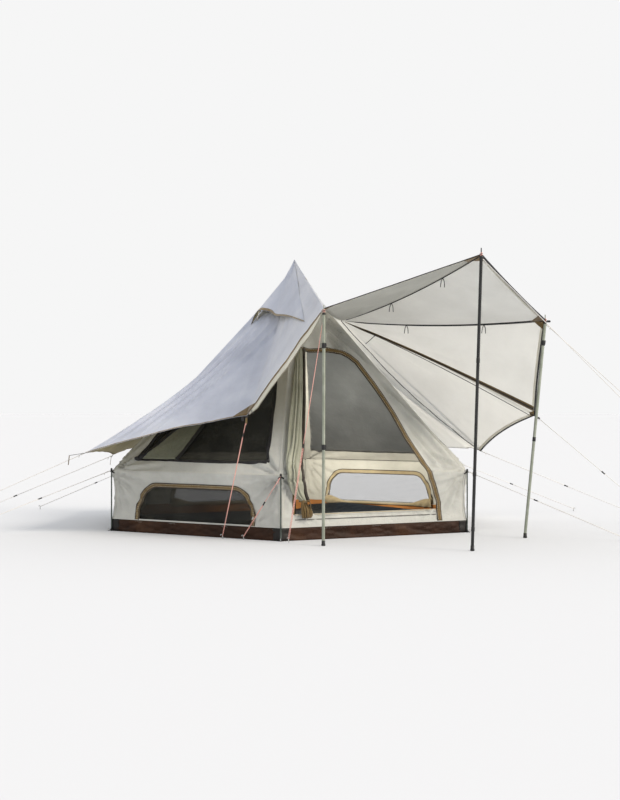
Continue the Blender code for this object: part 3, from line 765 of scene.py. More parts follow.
def makeSide(index):
    name = tent["sides"][index]
    bm = gridFromRows(sideRows(canvas["columns"], canvas["cell"]))
    for hole in [doorOutline()] if index == doorSide else [windowArch(), netOutline()]:
        cutGrid(bm, hole, False)
    side, area = finishCloth(name + "_canvas", bm, lambda x, y: canvasPoint(index, x, y), "canvas",
                             canvas["thickness"])
    register(side, "canvas", name + "_side")
    trims = [makeSideTapes(index)]
    if index != doorSide:
        makeNets(index)
        trims.append(makeWindowFlap(index))


def makeSideTapes(index):
    bm = bmesh.new()
    binding, black, seamCloth, zipCoil, pale = range(5)
    top = eave + slopeLength * 0.985
    seam, end = canvas["seam"], canvas["eaveEnd"]
    for side in (-1, 1):
        for edge in ([(side * (halfWidth(h) - seam), h) for h in (window["low"], eave - 0.001)],
                     [(side * (halfWidth(eave) - seam), eave + 0.004),
                      (side * (halfWidth(top) - 0.004), top)]):
            addTape(bm, index, edge, **canvas["seamTape"], slot=seamCloth)
    for start, stop in [(-end, doorLeft(eave)), (0.615, end)] if index == doorSide else [(-end, end)]:
        addTape(bm, index, [(start, eave + 0.012), (stop, eave + 0.012)], 0.018, lift=0.0012,
                thickness=0.0016, slot=seamCloth)
    if index == doorSide:
        trim, lap = door["trim"], door["lap"]
        addTape(bm, index, doorEdge, trim, out=lap + trim / 2, crown=0.0015)
        for out in (0.004, trim - 0.003):
            addTape(bm, index, doorEdge, 0.007, out=lap + out, lift=0.0056, thickness=0.002, slot=zipCoil)
        for drop, wide, lift, slot in ((0.006, 0.02, 0.0022, seamCloth), (0.002, 0.007, 0.0042, pale),
                                       (0.048, 0.006, 0.0042, zipCoil)):
            edge = [(x, door["sill"] - drop) for x in (doorLeft(0.2), 0.67)]
            addTape(bm, index, edge, wide, lift=lift, slot=slot)
        left = [(doorLeft(h), h) for h in (door["sill"], eave - 0.002, eave + 0.004, door["topStart"])]
        for edge in (left[:2], left[2:] + [door["topLeft"]]):
            addTape(bm, index, edge, 0.022, out=-0.012, slot=binding)
    else:
        arch, trim, net = windowArch(), window["trim"], netOutline()
        for lift, edgeLift, slot in ((0.0018, 0.0058, binding), (-0.0058, -0.0078, pale)):
            addTape(bm, index, arch, trim, out=trim / 2 - 0.006, lift=lift, thickness=0.004, slot=slot)
            for out in (-0.001, trim - 0.008):
                addTape(bm, index, arch, 0.008, out=out, lift=edgeLift, thickness=0.002, slot=zipCoil)
        addTape(bm, index, [(-end, eave + 0.01), (end, eave + 0.01)], 0.006, lift=-0.0035, thickness=0.0018,
                slot=zipCoil)
        for a, b in zip(net, net[1:] + net[:1]):
            addTape(bm, index, [a, b], roofNet["tape"], lift=0.002, thickness=0.0016, slot=black)
    return makeTrim(tent["sides"][index] + "_tapes", bm,
                    ["binding", "blackWeb", "canvas", "zip", "innerBinding"], "canvas")


def makeNets(index):
    name, behind = tent["sides"][index], canvas["behind"]
    # The front left windows get dark, nearly closed nets: painted shade of the dark inside seen through them
    outline, key = netOutline(0.004), "darkRoofNet"
    if index != frontLeft:
        # These get a grey cloth in place of the net, reaching past the window's top: a sheet of painted shade
        key, flapTop = "shade", eave + roofNet["flapTop"]
        halfTop = roofNet["halfHigh"] - roofNet["slant"] * (roofNet["flapTop"] - roofNet["high"])
        outline = [outline[0], (outline[1][0] + roofNet["flapBeyond"], outline[1][1]), (halfTop, flapTop),
                   (-halfTop, flapTop)]
    low = layCloth(name + "_window_mesh", index, windowArch(0.004), 0.05, -behind["net"],
                   "darkWallNet" if index == frontLeft else "net", canvas["netThickness"], sag=0.008)
    high = layCloth(name + "_roof_mesh", index, outline, 0.04, -behind[key], key, canvas["netThickness"],
                    sag=0.012)
    flats = [(2 * window["half"] + 0.01, window["high"] - window["low"] + 0.01),
             (2 * roofNet["halfLow"] + 0.02, outline[2][1] - outline[0][1])]
    for (net, area), node, flat in zip((low, high), ("_window_net", "_roof_net"), flats):
        register(net, "netting", name + node)


# The window's inner flap is unzipped and hangs folded below the window, drawn up at its two ends
def makeWindowFlap(index):
    half = window["half"] + 0.03

    def place(x, y):
        end = ease((abs(x) - half + 0.30) / 0.27)
        top = window["low"] - 0.006 + 0.062 * end + 0.003 * math.sin(x * 9)
        bottom = window["low"] - 0.030 - 0.012 * end
        belly = 0.006 + (0.010 + 0.014 * end) * math.sin(math.pi * y) + 0.007 * end * math.sin(x * 70 + y * 5)
        return canvasPoint(index, x, bottom + (top - bottom) * y, -0.011 - belly)
    bm = gridFromRows([[(half * (2 * c - 1), r) for c in shares(96)] for r in shares(8)])
    flap = finishCloth(tent["sides"][index] + "_window_flap", bm, place, "innerBinding", 0.003)[0]
    return register(flap, "canvas")


# The front left roof window is half covered by its outer flap, bound in black tape on both long edges
roofFlap = {"left": -0.735, "right": -0.285, "low": roofNet["low"] + 0.012, "peak": 1.36, "lift": 0.0045,
            "thickness": 0.002, "tape": 0.045, "tapeLift": 0.0060}


def makeRoofFlap():
    low, high = eave + roofFlap["low"], eave + roofFlap["peak"]
    left, right, top = (roofFlap["left"], low), (roofFlap["right"], low), (0.0, high)
    # The flap's cloth is the darker canvas copy, painted shade
    flap, area = layCloth("front_left_roof_flap", frontLeft, [left, right, top], 0.03, roofFlap["lift"],
                          "shadedFlapCanvas", roofFlap["thickness"])
    register(flap, "canvas")
    bm = bmesh.new()
    for foot in (left, right):
        addTape(bm, frontLeft, [foot, top], roofFlap["tape"], lift=roofFlap["tapeLift"], thickness=0.0018)
    tapes = makeTrim("front_left_roof_flap_tapes", bm, ["blackWeb"], "canvas")


for sideIndex in range(6):
    makeSide(sideIndex)
makeRoofFlap()
print("canvas done")


# Fly: one cloth that falls from the cap to its hem corners. Each corner is x, y, z, how straight the cloth
# runs down to it, and the height of the neck under the cap above it.
fly = {
    "apex": 2.75, "tip": 0.001, "collar": 0.078, "clearance": 0.024, "thickness": 0.0024,
    "hem": [(-0.848, -2.285, 2.09, 1.0, 2.729), (-1.20, -1.43, 1.14, 0.87, 2.62),
            (-2.39, -0.32, 0.78, 0.68, 2.607), (-1.80, 0.55, 0.72, 0.62, 2.607),
            (-1.075, 1.862, 0.74, 0.75, 2.607), (1.075, 1.862, 0.74, 0.75, 2.607),
            (2.15, 0, 0.74, 0.75, 2.607), (1.63, -1.03, 0.76, 0.68, 2.607),
            (0.29, -0.50, 2.10, 0.70, 2.607)],
    "pull": [0.012, 0.030, 0.02, 0.02, 0.015, 0.015, 0.015, 0.004, 0.0],
    "cap": [-1, -0.7, -0.4, -0.15], "column": 0.036, "rows": 58,
    "foldDepth": 0.020, "foldWidth": 0.15, "foldReach": 0.36, "ripple": 0.010,
    # Sharp pleats beside the far left seam: distance from it, how high, and how wide their two flanks are
    "pleats": [0.14, 0.30, 0.46, 0.64], "pleatDepth": 0.028, "pleatFlanks": (0.070, 0.028),
    # About how long the cloth is from collar to hem, for bands that are set in from the hem
    "fall": 2.2, "hemBand": 0.014, "skirt": 0.075, "patch": 0.15, "seamBow": 0.28,
    # From this corner on, the inner side is pale like the awning's; before it the darker khaki copy paints
    # shade
    "paleFrom": 5,
    # Straps at the left corners: which corner, how far out and how far down
    "straps": [(1, 0.0, 0.05), (2, 0.14, 0.09), (3, 0.0, 0.08)],
}
hemCount = len(fly["hem"])
hemCorners = [Vector(corner[:3]) for corner in fly["hem"]]
hemLengths = [(b - a).length for a, b in zip(hemCorners, hemCorners[1:] + hemCorners[:1])]


def roofHeight(x, y):
    reach = max(Vector((x, y, 0)).dot(side[2]) for side in axes)
    return -1.0 if reach > apothem else eave + (roofPeak - eave) * (1 - reach / apothem)


def hemRun(u):
    k = int(u) % hemCount
    return sum(hemLengths[:k]) + hemLengths[k] * (u - int(u))


# u runs round the hem, one step a corner; out runs from the collar (0) to the hem (1), below 0 up the cap
def flyBare(u, out):
    k, share = int(u) % hemCount, u - int(u)
    x, y, height, straight, neck = [p + (q - p) * share
                                    for p, q in zip(fly["hem"][k], fly["hem"][(k + 1) % hemCount])]
    reach = math.hypot(x, y)
    if out < 0:
        radius = fly["tip"] + (fly["collar"] - fly["tip"]) * (1 + out)
        z = fly["apex"] + (neck - fly["apex"]) * (1 + out)
    else:
        out *= 1 - fly["pull"][k] * 4 * share * (1 - share)
        radius = fly["collar"] + (reach - fly["collar"]) * out
        inner = max(0.0, 1 - out)
        z = height + (neck - height) * (straight * inner + (1 - straight) * inner ** 3)
    return Vector((x / reach * radius, y / reach * radius, z))


def flyNormal(u, out):
    across = flyBare(u + 0.004, out) - flyBare(u - 0.004 if u >= 0.004 else u, out)
    down = flyBare(u, min(1.0, out + 0.01)) - flyBare(u, min(1.0, out) - 0.01)
    normal = across.cross(down).normalized()
    return -normal if normal.z < 0 else normal


def flyFold(u, out):
    fold = 0.0
    for k in range(8):
        gap = min((u - k) % hemCount, (k - u) % hemCount)
        if gap < 1:
            step = hemLengths[k if (u - k) % hemCount < 1 else k - 1] * gap * out
            crest = (1 - abs(math.sin(math.pi * step / fly["foldWidth"] + 0.6 * k))) ** 1.5
            fold += fly["foldDepth"] * (crest - 0.3) * math.exp(-step / fly["foldReach"]) * ease(step / 0.05)
    if 1 < u < 3:
        gentle, steep = fly["pleatFlanks"]
        for place in fly["pleats"]:
            away = hemLengths[int(u)] * abs(u - 2) * out - place
            fold += fly["pleatDepth"] * ease(1 - away / steep if away > 0 else 1 + away / gentle)
    fold *= ease((1 - out) / 0.18 + 0.1)
    around = hemRun(u)
    fold += fly["ripple"] * noise.noise(Vector((around * 3.2, out * 1.3, 1.5))) * ease(out * 3)
    fold += 0.4 * fly["ripple"] * noise.noise(Vector((around * 9, out * 4, 7.1))) * ease(out * 4)
    return fold * ease((out - 0.12) / 0.35)


def flyPoint(u, out, lift=0.0):
    normal = flyNormal(u, max(0.02, out))
    point = flyBare(u, out) + normal * (flyFold(u, out) if out > 0 else 0)
    point.z = max(point.z, roofHeight(point.x, point.y) + fly["clearance"])
    return point + normal * lift


# The pale skirt hangs from the front hem and dies away at its two ends
def skirtPoint(u, rise, lift=0.0):
    point = flyPoint(u, 1)
    reach = min(1.0, 6 * min(u - 0.02, 0.99 - u) + 0.2)
    return point + up * rise * reach + Vector((point.x, point.y, 0)).normalized() * lift


# The seam that shows as a thin dark line down the inside of the right gusset
def gussetSeam(share, lift=-0.004):
    return flyPoint(8 - share, 1 - fly["seamBow"] * math.sqrt(max(0.0, math.sin(math.pi * share))), lift)


def hemSteps(start, end, spacing):
    steps = []
    k = start
    while k < end - 1e-6:
        stop = min(end, int(k + 1e-6) + 1)
        count = max(2, round(hemLengths[int(k + 1e-6) % hemCount] * (stop - k) / spacing))
        steps += [k + (stop - k) * share for share in shares(count)[:-1]]
        k = stop
    return steps + [end]


def sheetFromLines(lines, places, closed=False, flip=False):
    bm = bmesh.new()
    uv = bm.loops.layers.uv.new("cloth")
    verts = [[bm.verts.new(point) for point in line] for line in lines]
    flat = {}
    for column, spots in zip(verts, places):
        flat.update(zip(column, spots))
    for left, right in zip(verts, verts[1:] + (verts[:1] if closed else [])):
        for row in range(len(left) - 1):
            corners = (left[row], left[row + 1], right[row + 1], right[row])
            face = bm.faces.new(corners[::-1] if flip else corners)
            face.smooth = True
            for loop in face.loops:
                loop[uv].uv = flat[loop.vert]
    bm.faces.ensure_lookup_table()
    return bm


# A three-cornered patch: its ribbon runs from the corner and narrows to nothing
def addPatch(bm, surface, corner, reach, size, fall, slot=0, **ribbon):
    sizes = [size * (1 - share) / fall for share in shares(6)]
    spots = [(corner + reach * share, 1 - deep / 2) for share, deep in zip(shares(6), sizes)]
    addRibbon(bm, surface, spots, [(0, deep) for deep in sizes], 1.0, slot=slot, thickness=0.002, columns=6,
              **ribbon)


def makeFly():
    fine = [2 + side * 0.009 * i / hemLengths[1 if side < 0 else 2] for i in range(1, 80) for side in (-1, 1)]
    steps = sorted(hemSteps(0, hemCount, fly["column"])[:-1] + fine)
    rows = fly["cap"] + [share ** 1.15 for share in shares(fly["rows"])]
    lines = [[flyPoint(u, out) for out in rows] for u in steps]
    places = [[(hemRun(u) * max(0.12, out), (line[-1] - line[0]).length * out) for out in rows]
              for u, line in zip(steps, lines)]
    bm = sheetFromLines(lines, places, closed=True, flip=True)
    start = next(i for i, u in enumerate(steps) if u >= fly["paleFrom"] - 1e-6) * (len(rows) - 1)
    for face in bm.faces[start:]:
        face.material_index = 2
    area = flatArea(bm)
    sheet = finishSheet("fly_sheet", bm, ["flyOuter", "flyShadedInner", "awningOuter", "awningInner"],
                        fly["thickness"], 1)
    register(sheet, "fly_cloth", "fly_cap", "front_left_fly", "left_fly", "back_fly", "right_fly",
             "front_fly_gusset", "right_fly_gusset")
    print("fly area", round(area, 2))

    bm = bmesh.new()
    khaki, pale, black = range(3)
    fall, band, skirt = fly["fall"], fly["hemBand"], fly["skirt"]
    for start, end in ((0.0, 1.0), (1.0, 7.0)):
        spots = [(u % hemCount, 1 - band / 2 / fall) for u in hemSteps(start, end, 0.03)]
        addRibbon(bm, flyPoint, spots, [(0, 1 / fall)] * len(spots), band, lift=0.003, spacing=0.03,
                  thickness=0.0016, columns=2)
    # A pale skirt hangs from the front hem, below a khaki edge
    route = hemSteps(0.04, 0.97, 0.03)
    for width, drop, slot in ((skirt, 0.0, pale), (0.012, -0.004, khaki), (0.006, skirt - 0.008, khaki)):
        addRibbon(bm, skirtPoint, [(u, -width / 2 - drop) for u in route], [(0, 1)] * len(route), width,
                  lift=0.002 if slot == pale else 0.004, spacing=0.03, thickness=0.0016, columns=2, slot=slot)
    for side in (-1, 1):
        addPatch(bm, flyPoint, 1, side * fly["patch"] / hemLengths[side > 0], fly["patch"], fall, lift=0.0066)
    addTube(bm, [gussetSeam(share) for share in shares(50)], 0.004, sides=6, slot=black)
    # Webbing straps that hang from the left corners, and two clips on the nearest one
    for k, reach, drop in fly["straps"]:
        corner = hemCorners[k]
        way = Vector((corner.x, corner.y, 0)).normalized()
        route = [corner, corner + way * (0.02 + reach) - up * 0.02,
                 corner + way * (0.03 + reach) - up * (0.02 + drop)]
        for stretch, slot in ((route[:2], black), (route[1:], khaki)):
            addTube(bm, smoothPath(stretch, 0.02), 0.009, slot=slot, squash=0.25)
    for shift in (-0.03, 0.06):
        clip = flyPoint(1 - shift, 1, -0.012)
        addTurned(bm, clip + up * 0.006, clip - up * 0.036,
                  [(0, 0.006), (0.2, 0.012), (0.8, 0.012), (1, 0.006)], sides=12, slot=black)
    trims = makeTrim("fly_bindings", bm, ["binding", "awningInner", "blackWeb"], "fly_cloth")


# Vent hood: it runs straight from the cap to a lip that stands off the cloth below, propped by a strut.
# Each lip point is u, out and how far it stands off.
hood = {
    "lip": [(0.22, 0.863, 0.003), (0.30, 0.749, 0.014), (0.50, 0.545, 0.036), (0.80, 0.385, 0.064),
            (1.15, 0.280, 0.080), (1.50, 0.228, 0.092), (1.68, 0.222, 0.060), (1.86, 0.225, 0.003)],
    "cap": (-0.97, -0.6, -0.25), "band": 0.036, "fold": 0.007, "columns": 64, "rows": 22,
    "strut": 0.004, "strutTop": 0.74, "strutFoot": 0.86, "flatWidth": 1.5,
}


def spline(values, share):
    spot = share * (len(values) - 1)
    i = min(int(spot), len(values) - 2)
    a, b = values[i], values[i + 1]
    before = values[i - 1] if i else a
    after = values[i + 2] if i + 2 < len(values) else b
    return [curve(*four, spot - i) for four in zip(before, a, b, after)]


hoodTop = [flyPoint(u, 0.004, 0.004) for u, out, stand in hood["lip"]]
hoodLip = [flyPoint(u, out, stand) for u, out, stand in hood["lip"]]


def hoodPoint(share, down, lift=0.0):
    u, out = spline(hood["lip"], share)[:2]
    point = Vector(spline(hoodTop, share)).lerp(Vector(spline(hoodLip, share)), down)
    normal = flyNormal(u, max(0.05, out * down))
    folds = noise.noise(Vector((share * 8, down * 0.8, 4.4))) + 0.4 * noise.noise(Vector((share * 17, 2, 6)))
    folds *= ease(down * 1.4) * ease(share * 9) * ease((1 - share) * 9)
    point += normal * (hood["fold"] * folds + lift)
    low = flyPoint(u, out * down, 0.003)
    return point + normal * max(0.0, (low - point).dot(normal))


def makeHood():
    lines, places = [], []
    for share in shares(hood["columns"]):
        u = spline(hood["lip"], share)[0]
        line = [flyBare(u, out) + flyNormal(u, 0.02) * 0.004 for out in hood["cap"]]
        line += [hoodPoint(share, down) for down in shares(hood["rows"])]
        lines.append(line)
        length = (line[-1] - line[0]).length
        places.append([(share * 2.6, length * r / len(line)) for r in range(len(line))])
    bm = sheetFromLines(lines, places, flip=True)
    area = flatArea(bm)
    sheet = finishSheet("vent_hood_sheet", bm, ["flyOuter", "flyShadedInner"], fly["thickness"], 1)
    register(sheet, "fly_cloth", "vent_hood")

    bm = bmesh.new()
    lengths = [(hoodPoint(share, 1) - hoodPoint(share, 0)).length for share in shares(72)]
    middle = [(share, 1 - hood["band"] / 2 / length) for share, length in zip(shares(72), lengths)]
    addRibbon(bm, hoodPoint, middle, [(0, 1 / length) for length in lengths], hood["band"], lift=0.002,
              spacing=0.03, thickness=0.0022)
    band = makeTrim("vent_hood_band", bm, ["binding"], "fly_cloth")

    bm = bmesh.new()
    lip = hoodPoint(hood["strutTop"], 0.985, -0.006)
    u, out = spline(hood["lip"], hood["strutFoot"])[:2]
    seat = flyPoint(u, out * 1.03, 0.004)
    addTube(bm, [lip, lip.lerp(seat, 0.5), seat], hood["strut"])
    strut = makeTrim("vent_hood_strut", bm, ["thread"], "fly_cloth")


# Awning: the raised side of the fly, spread from its shoulder over three poles
awning = {
    "corners": [(-0.848, -2.285, 2.09), (0.1503, -3.2659, 2.525), (1.3376, -2.5464, 2.03),
                (1.60, -2.02, 1.14), (1.63, -1.03, 0.76)],
    "shoulder": (0.29, -0.50, 2.10),
    # How far each hem is drawn in, and how deep each seam and each panel hangs
    "pull": [0.008, 0.012, 0.012, 0.045], "seamSag": [0.02, 0.055, 0.045, -0.045, 0.0],
    "panelSag": [0.02, 0.045, 0.03, 0.0],
    "column": 0.05, "rows": 46, "ripple": 0.010, "thickness": 0.0024, "hemBand": 0.03,
    # Khaki patches: corner, which side of its seam, and length
    "patches": [(0, 1, 0.09), (1, -1, 0.15), (1, 1, 0.12), (2, -1, 0.13), (2, 1, 0.10), (3, -1, 0.05),
                (3, 1, 0.05)],
    "piping": [0.0045, 0.0105, 0.0090, 0.0080],
    # Seam and share of the way out of each pair of ties and of the two ends of the cord link
    "ties": [(1, 0.40), (1, 0.76), (2, 0.34), (2, 0.72)], "link": [(2.97, 0.185), (3.985, 0.175)],
    "cord": 0.0034, "last": 3.99999,
}
awningCorners = [Vector(c) for c in awning["corners"]]
awningSpans = [(b - a).length for a, b in zip(awningCorners, awningCorners[1:])]
shoulder = Vector(awning["shoulder"])


def awningBare(u, out):
    u = min(max(u, 0.0), awning["last"])
    k, share = int(u), u - int(u)
    arch = 4 * share * (1 - share)
    rim = awningCorners[k].lerp(awningCorners[k + 1], share)
    rim += (shoulder - rim).normalized() * awning["pull"][k] * arch * awningSpans[k]
    sag = awning["seamSag"][k] * (1 - share) + awning["seamSag"][k + 1] * share + awning["panelSag"][k] * arch
    return shoulder.lerp(rim, out) - up * sag * 4 * out * (1 - out)


def awningNormal(u, out):
    across = awningBare(u + 0.004, out) - awningBare(u - 0.004, out)
    down = awningBare(u, out + 0.01) - awningBare(u, out - 0.01)
    return down.cross(across).normalized()


def awningPoint(u, out, lift=0.0):
    near = min(abs(u - round(u)), 0.5) * out
    wide = noise.noise(Vector((u * 7, out * 1.5, 3.3))) * 0.7
    wide += noise.noise(Vector((u * 17, out * 3.0, 9.1))) * 0.5
    fold = awning["ripple"] * wide * ease(near / 0.05) * ease((1 - out) / 0.04 + 0.25)
    return awningBare(u, out) + awningNormal(u, max(0.03, out)) * (fold + lift)


# A ribbon along a seam of the awning, from the shoulder outwards; drift slants it off the seam
def addSeam(bm, u, width, slot, below=True, start=0.02, end=0.995, lift=0.0022, drift=0.0):
    outs = [start + (end - start) * share for share in shares(60)]
    ways = [(1 / max(out * awningSpans[min(int(u), 3)], 0.12), 0) for out in outs]
    addRibbon(bm, awningPoint, [(u + drift * out, out) for out in outs], ways, width, lift=lift, below=below,
              spacing=0.04, slot=slot, thickness=0.0018, columns=2)


def makeAwning():
    steps = [k + share for k in range(4) for share in shares(round(awningSpans[k] / awning["column"]))[:-1]]
    steps.append(awning["last"])
    lines = [[awningPoint(u, 0.004 + 0.996 * out) for out in shares(awning["rows"])] for u in steps]
    places, run = [], 0.0
    for i, line in enumerate(lines):
        run += (line[-1] - lines[i - 1][-1]).length if i else 0
        places.append([(run * max(0.1, out), (line[-1] - shoulder).length * out)
                       for out in shares(awning["rows"])])
    bm = sheetFromLines(lines, places)
    # The header and the top panel have the fly's denser coating, so less light comes through them; the
    # header's inside is also a darker grey copy of the pale cloth, painted shade
    header, top = [steps.index(k) * awning["rows"] for k in (1, 2)]
    for i, face in enumerate(bm.faces[:top]):
        face.material_index = 4 if i < header else 2
    area = flatArea(bm)
    keys = ["awningOuter", "awningInner", "flyOuter", "awningInner", "flyOuter", "headerShadedInner"]
    sheet = finishSheet("awning_sheet", bm, keys, awning["thickness"], 1)
    register(sheet, "awning_cloth", "awning_header", "awning_top", "awning_side", "awning_rear")
    print("awning area", round(area, 2))

    bm = bmesh.new()
    binding, web, zipCoil, cloth = range(4)
    addSeam(bm, 1, 0.014, cloth)
    addTube(bm, [awningPoint(1, 0.04 + 0.95 * share, -0.009) for share in shares(60)], 0.0045, sides=6,
            slot=web)
    addSeam(bm, 2, 0.026, web)
    addSeam(bm, 3, 0.052, binding, drift=-0.06)
    addSeam(bm, 3, 0.020, zipCoil, drift=-0.06, lift=0.0042)
    addSeam(bm, 3.10, 0.007, web, start=0.1, drift=-0.06)
    for u in (1, 2, 3):
        addSeam(bm, u, 0.02, cloth, below=False)
    for k, (span, piping) in enumerate(zip(awningSpans, awning["piping"])):
        route = [min(k + share, 3.9999) for share in shares(round(span / 0.03))]
        lengths = [(awningBare(u, 1) - shoulder).length for u in route]
        addRibbon(bm, awningPoint,
                  [(u, 1 - awning["hemBand"] / 2 / length) for u, length in zip(route, lengths)],
                  [(0, 1 / length) for length in lengths], awning["hemBand"], lift=0.0018, below=True,
                  spacing=0.03, slot=cloth, thickness=0.0018, columns=2)
        addTube(bm, [awningPoint(u, 1) for u in route], piping, sides=6, slot=web)
    for corner, side, size in awning["patches"]:
        addPatch(bm, awningPoint, corner, side * size / awningSpans[corner - (side < 0)], size, 2.0,
                 slot=binding, lift=0.004, below=True)
    # Pairs of cord ties for a rolled-up panel, and the cord that links the zip to the thin seam
    for u, out in awning["ties"]:
        start = awningPoint(u, out, -0.006)
        for end in (-1, 1):
            drop = [start, start + Vector((0.016 * end, 0, -0.035)),
                    start + Vector((0.022 * end, 0.004, -0.085))]
            addTube(bm, smoothPath(drop, 0.02), awning["cord"], sides=6, slot=web)
    link = [awningPoint(u, out, -0.012) for u, out in awning["link"]]
    addTube(bm, straightPath(link), awning["cord"], sides=6, slot=web)
    # A webbing loop and a toggle hold each corner to its pole or guy
    for corner in (2, 3):
        spot = awningCorners[corner] - up * 0.012
        way = (spot - shoulder).normalized()
        addTube(bm, [spot - way * 0.05, spot + way * 0.03], 0.011, slot=web, squash=0.25)
        addTurned(bm, spot + way * 0.022, spot + way * 0.058,
                  [(0, 0.007), (0.15, 0.010), (0.85, 0.010), (1, 0.007)], sides=12, slot=web)
    trims = makeTrim("awning_bindings", bm, ["binding", "blackWeb", "zip", "awningInner"], "awning_cloth")


makeFly()
makeHood()
makeAwning()
print("fly done")


# Door panel, unzipped, gathered in pleats along the left hip and tied with a khaki tape. Path points are
# across the side, up the wall and roof, and half the width of the bundle; without an across it follows
# the hip.
bundle = {
    "inset": 0.10,
    "path": [(None, 2.15, 0.026), (None, 1.79, 0.040), (None, 1.39, 0.055), (None, 1.01, 0.062),
             (None, 0.75, 0.060), (-0.885, 0.59, 0.060), (-0.87, 0.50, 0.060), (-0.83, 0.41, 0.045),
             (-0.77, 0.335, 0.020), (-0.755, 0.285, 0.038), (-0.75, 0.235, 0.044), (-0.75, 0.205, 0.034)],
    "columns": 154, "rows": 90, "folds": 9, "foldDepth": 1.6, "flatness": 0.62, "tie": 0.70,
    "flat": (1.44, 2.0), "flatArea": 1.75,
}


def bundlePoint(share, turn, lift=0.0, pleated=True):
    rows = [(bundle["inset"] - halfWidth(along) if across is None else across, along, wide)
            for across, along, wide in bundle["path"]]
    across, along, wide = spline(rows, share)
    middle, rightward, outward, slope, roofOut = axes[doorSide]
    blend = ease((along - eave) / 0.16 + 0.5)
    outside = (outward * (1 - blend) + roofOut * blend).normalized()
    centre = canvasPoint(doorSide, across, along) + outside * (wide * bundle["flatness"] + 0.012)
    around = Vector((math.cos(turn), math.sin(turn), 0))
    drift = 0.35 * math.sin(share * 7) + 0.5 * noise.noise(around * 1.3 + up * share * 3)
    pleat = 0.8 + bundle["foldDepth"] * 0.5 * (abs(math.sin(bundle["folds"] * (turn + drift) / 2)) - 0.55)
    pleat += 0.16 * noise.noise(around * 2 + up * share * 7)
    size = wide * (pleat if pleated else 1) + lift
    return centre + (rightward * around.x + outside * bundle["flatness"] * around.y) * size


def makeBundle():
    columns, rows, tie = bundle["columns"], bundle["rows"], bundle["tie"]
    lines = [[bundlePoint(share, turn) for share in shares(rows)] for turn in circle(columns)]
    places = [[(c * 1.4, r * 2.0) for r in shares(rows)] for c in shares(columns)[:-1]]
    bm = sheetFromLines(lines, places, closed=True)
    # The lower end that hangs out of the tie is the panel's khaki border
    for i, face in enumerate(bm.faces):
        face.material_index = int(i % rows > rows * tie)
    bmesh.ops.recalc_face_normals(bm, faces=bm.faces)
    # The panel's cloth is the darker canvas copy, painted shade
    panel = finishSheet("gathered_door_panel", bm, ["panel", "binding"], 0.003)
    register(panel, "canvas", "gathered_door")

    bm = bmesh.new()
    addTube(bm, [bundlePoint(tie, turn, 0.008) for turn in circle(40)], 0.016, closed=True, squash=0.45)
    knot = bundlePoint(tie, 1.2, 0.012)
    for side in (-1, 1):
        loop = [knot] + [knot + Vector((side * x, y, z)) for x, y, z in
                         ((0.03, -0.015, 0.01), (0.045, -0.02, -0.06), (0.03, -0.015, -0.15))]
        addTube(bm, smoothPath(loop, 0.015), 0.014, sides=6, squash=0.3)
    # The zip on the panel's free edge shows as a dark line down the right of the bundle
    edge = [bundlePoint(tie * share, 0.2, 0.024, pleated=False) for share in shares(50)]
    addTube(bm, edge, 0.016, slot=1, squash=0.6)
    ties = makeTrim("door_tie", bm, ["binding", "zip"], "canvas")


makeBundle()
print("door panel done")


# Poles: the CAD tubes with their finishes, and what is fixed on them. Foot, top and height of each pole
# as in the frame; clamps and collars are heights. Each profile is share of the length and radius.
poles = {
    "front_pole": {"foot": (-0.85, -2.28), "top": (-0.85, -2.29), "height": 2.12, "finish": "greyTube",
                   "clamps": [1.764, 0.869], "collars": []},
    "tall_pole": {"foot": (0.08, -3.24), "top": (0.15, -3.27), "height": 2.58, "finish": "blackTube",
                  "clamps": [], "collars": [0.655, 0.187, 1.62]},
    "right_pole": {"foot": (1.17, -2.47), "top": (1.34, -2.55), "height": 2.08, "finish": "greyTube",
                   "clamps": [1.816], "collars": [0.92]},
    "footLength": 0.04, "pin": 0.07, "wallRadius": 0.007, "wallHeight": 0.61, "clampLength": 0.048,
    "collarLength": 0.040,
    "clamp": [(0, 0.0150), (0.02, 0.0172), (0.1, 0.0182), (0.3, 0.0182), (0.34, 0.0185), (0.86, 0.0185),
              (0.93, 0.0182), (0.99, 0.0172), (1, 0.0150)],
    "collar": [(0, 0.0145), (0.08, 0.0160), (0.92, 0.0160), (1, 0.0145)],
    "foot": [(0, 0.0150), (0.06, 0.0190), (0.25, 0.0190), (0.40, 0.0165), (1, 0.0158)],
    "cap": [(0, 0.0145), (0.1, 0.0165), (0.8, 0.0165), (1, 0.009)],
    "wallCap": [(0, 0.0080), (0.15, 0.0100), (0.8, 0.0100), (1, 0.005)],
    "wallFoot": [(0, 0.0085), (0.1, 0.0105), (0.7, 0.0100), (1, 0.0080)],
    # The clamps' levers point to the right in the photo's view
    "leverWay": Vector((0.891, -0.454, 0)),
}
poleReach = cornerRadius + 0.002 / math.cos(math.pi / 6) + poles["wallRadius"] + 0.0003


def polePoint(name, height):
    pole = poles[name]
    foot = Vector((*pole["foot"], poles["footLength"]))
    top = Vector((*pole["top"], pole["height"] - poles["pin"]))
    return foot.lerp(top, min(1.0, (height - foot.z) / (top.z - foot.z))) + up * max(0.0, height - top.z)


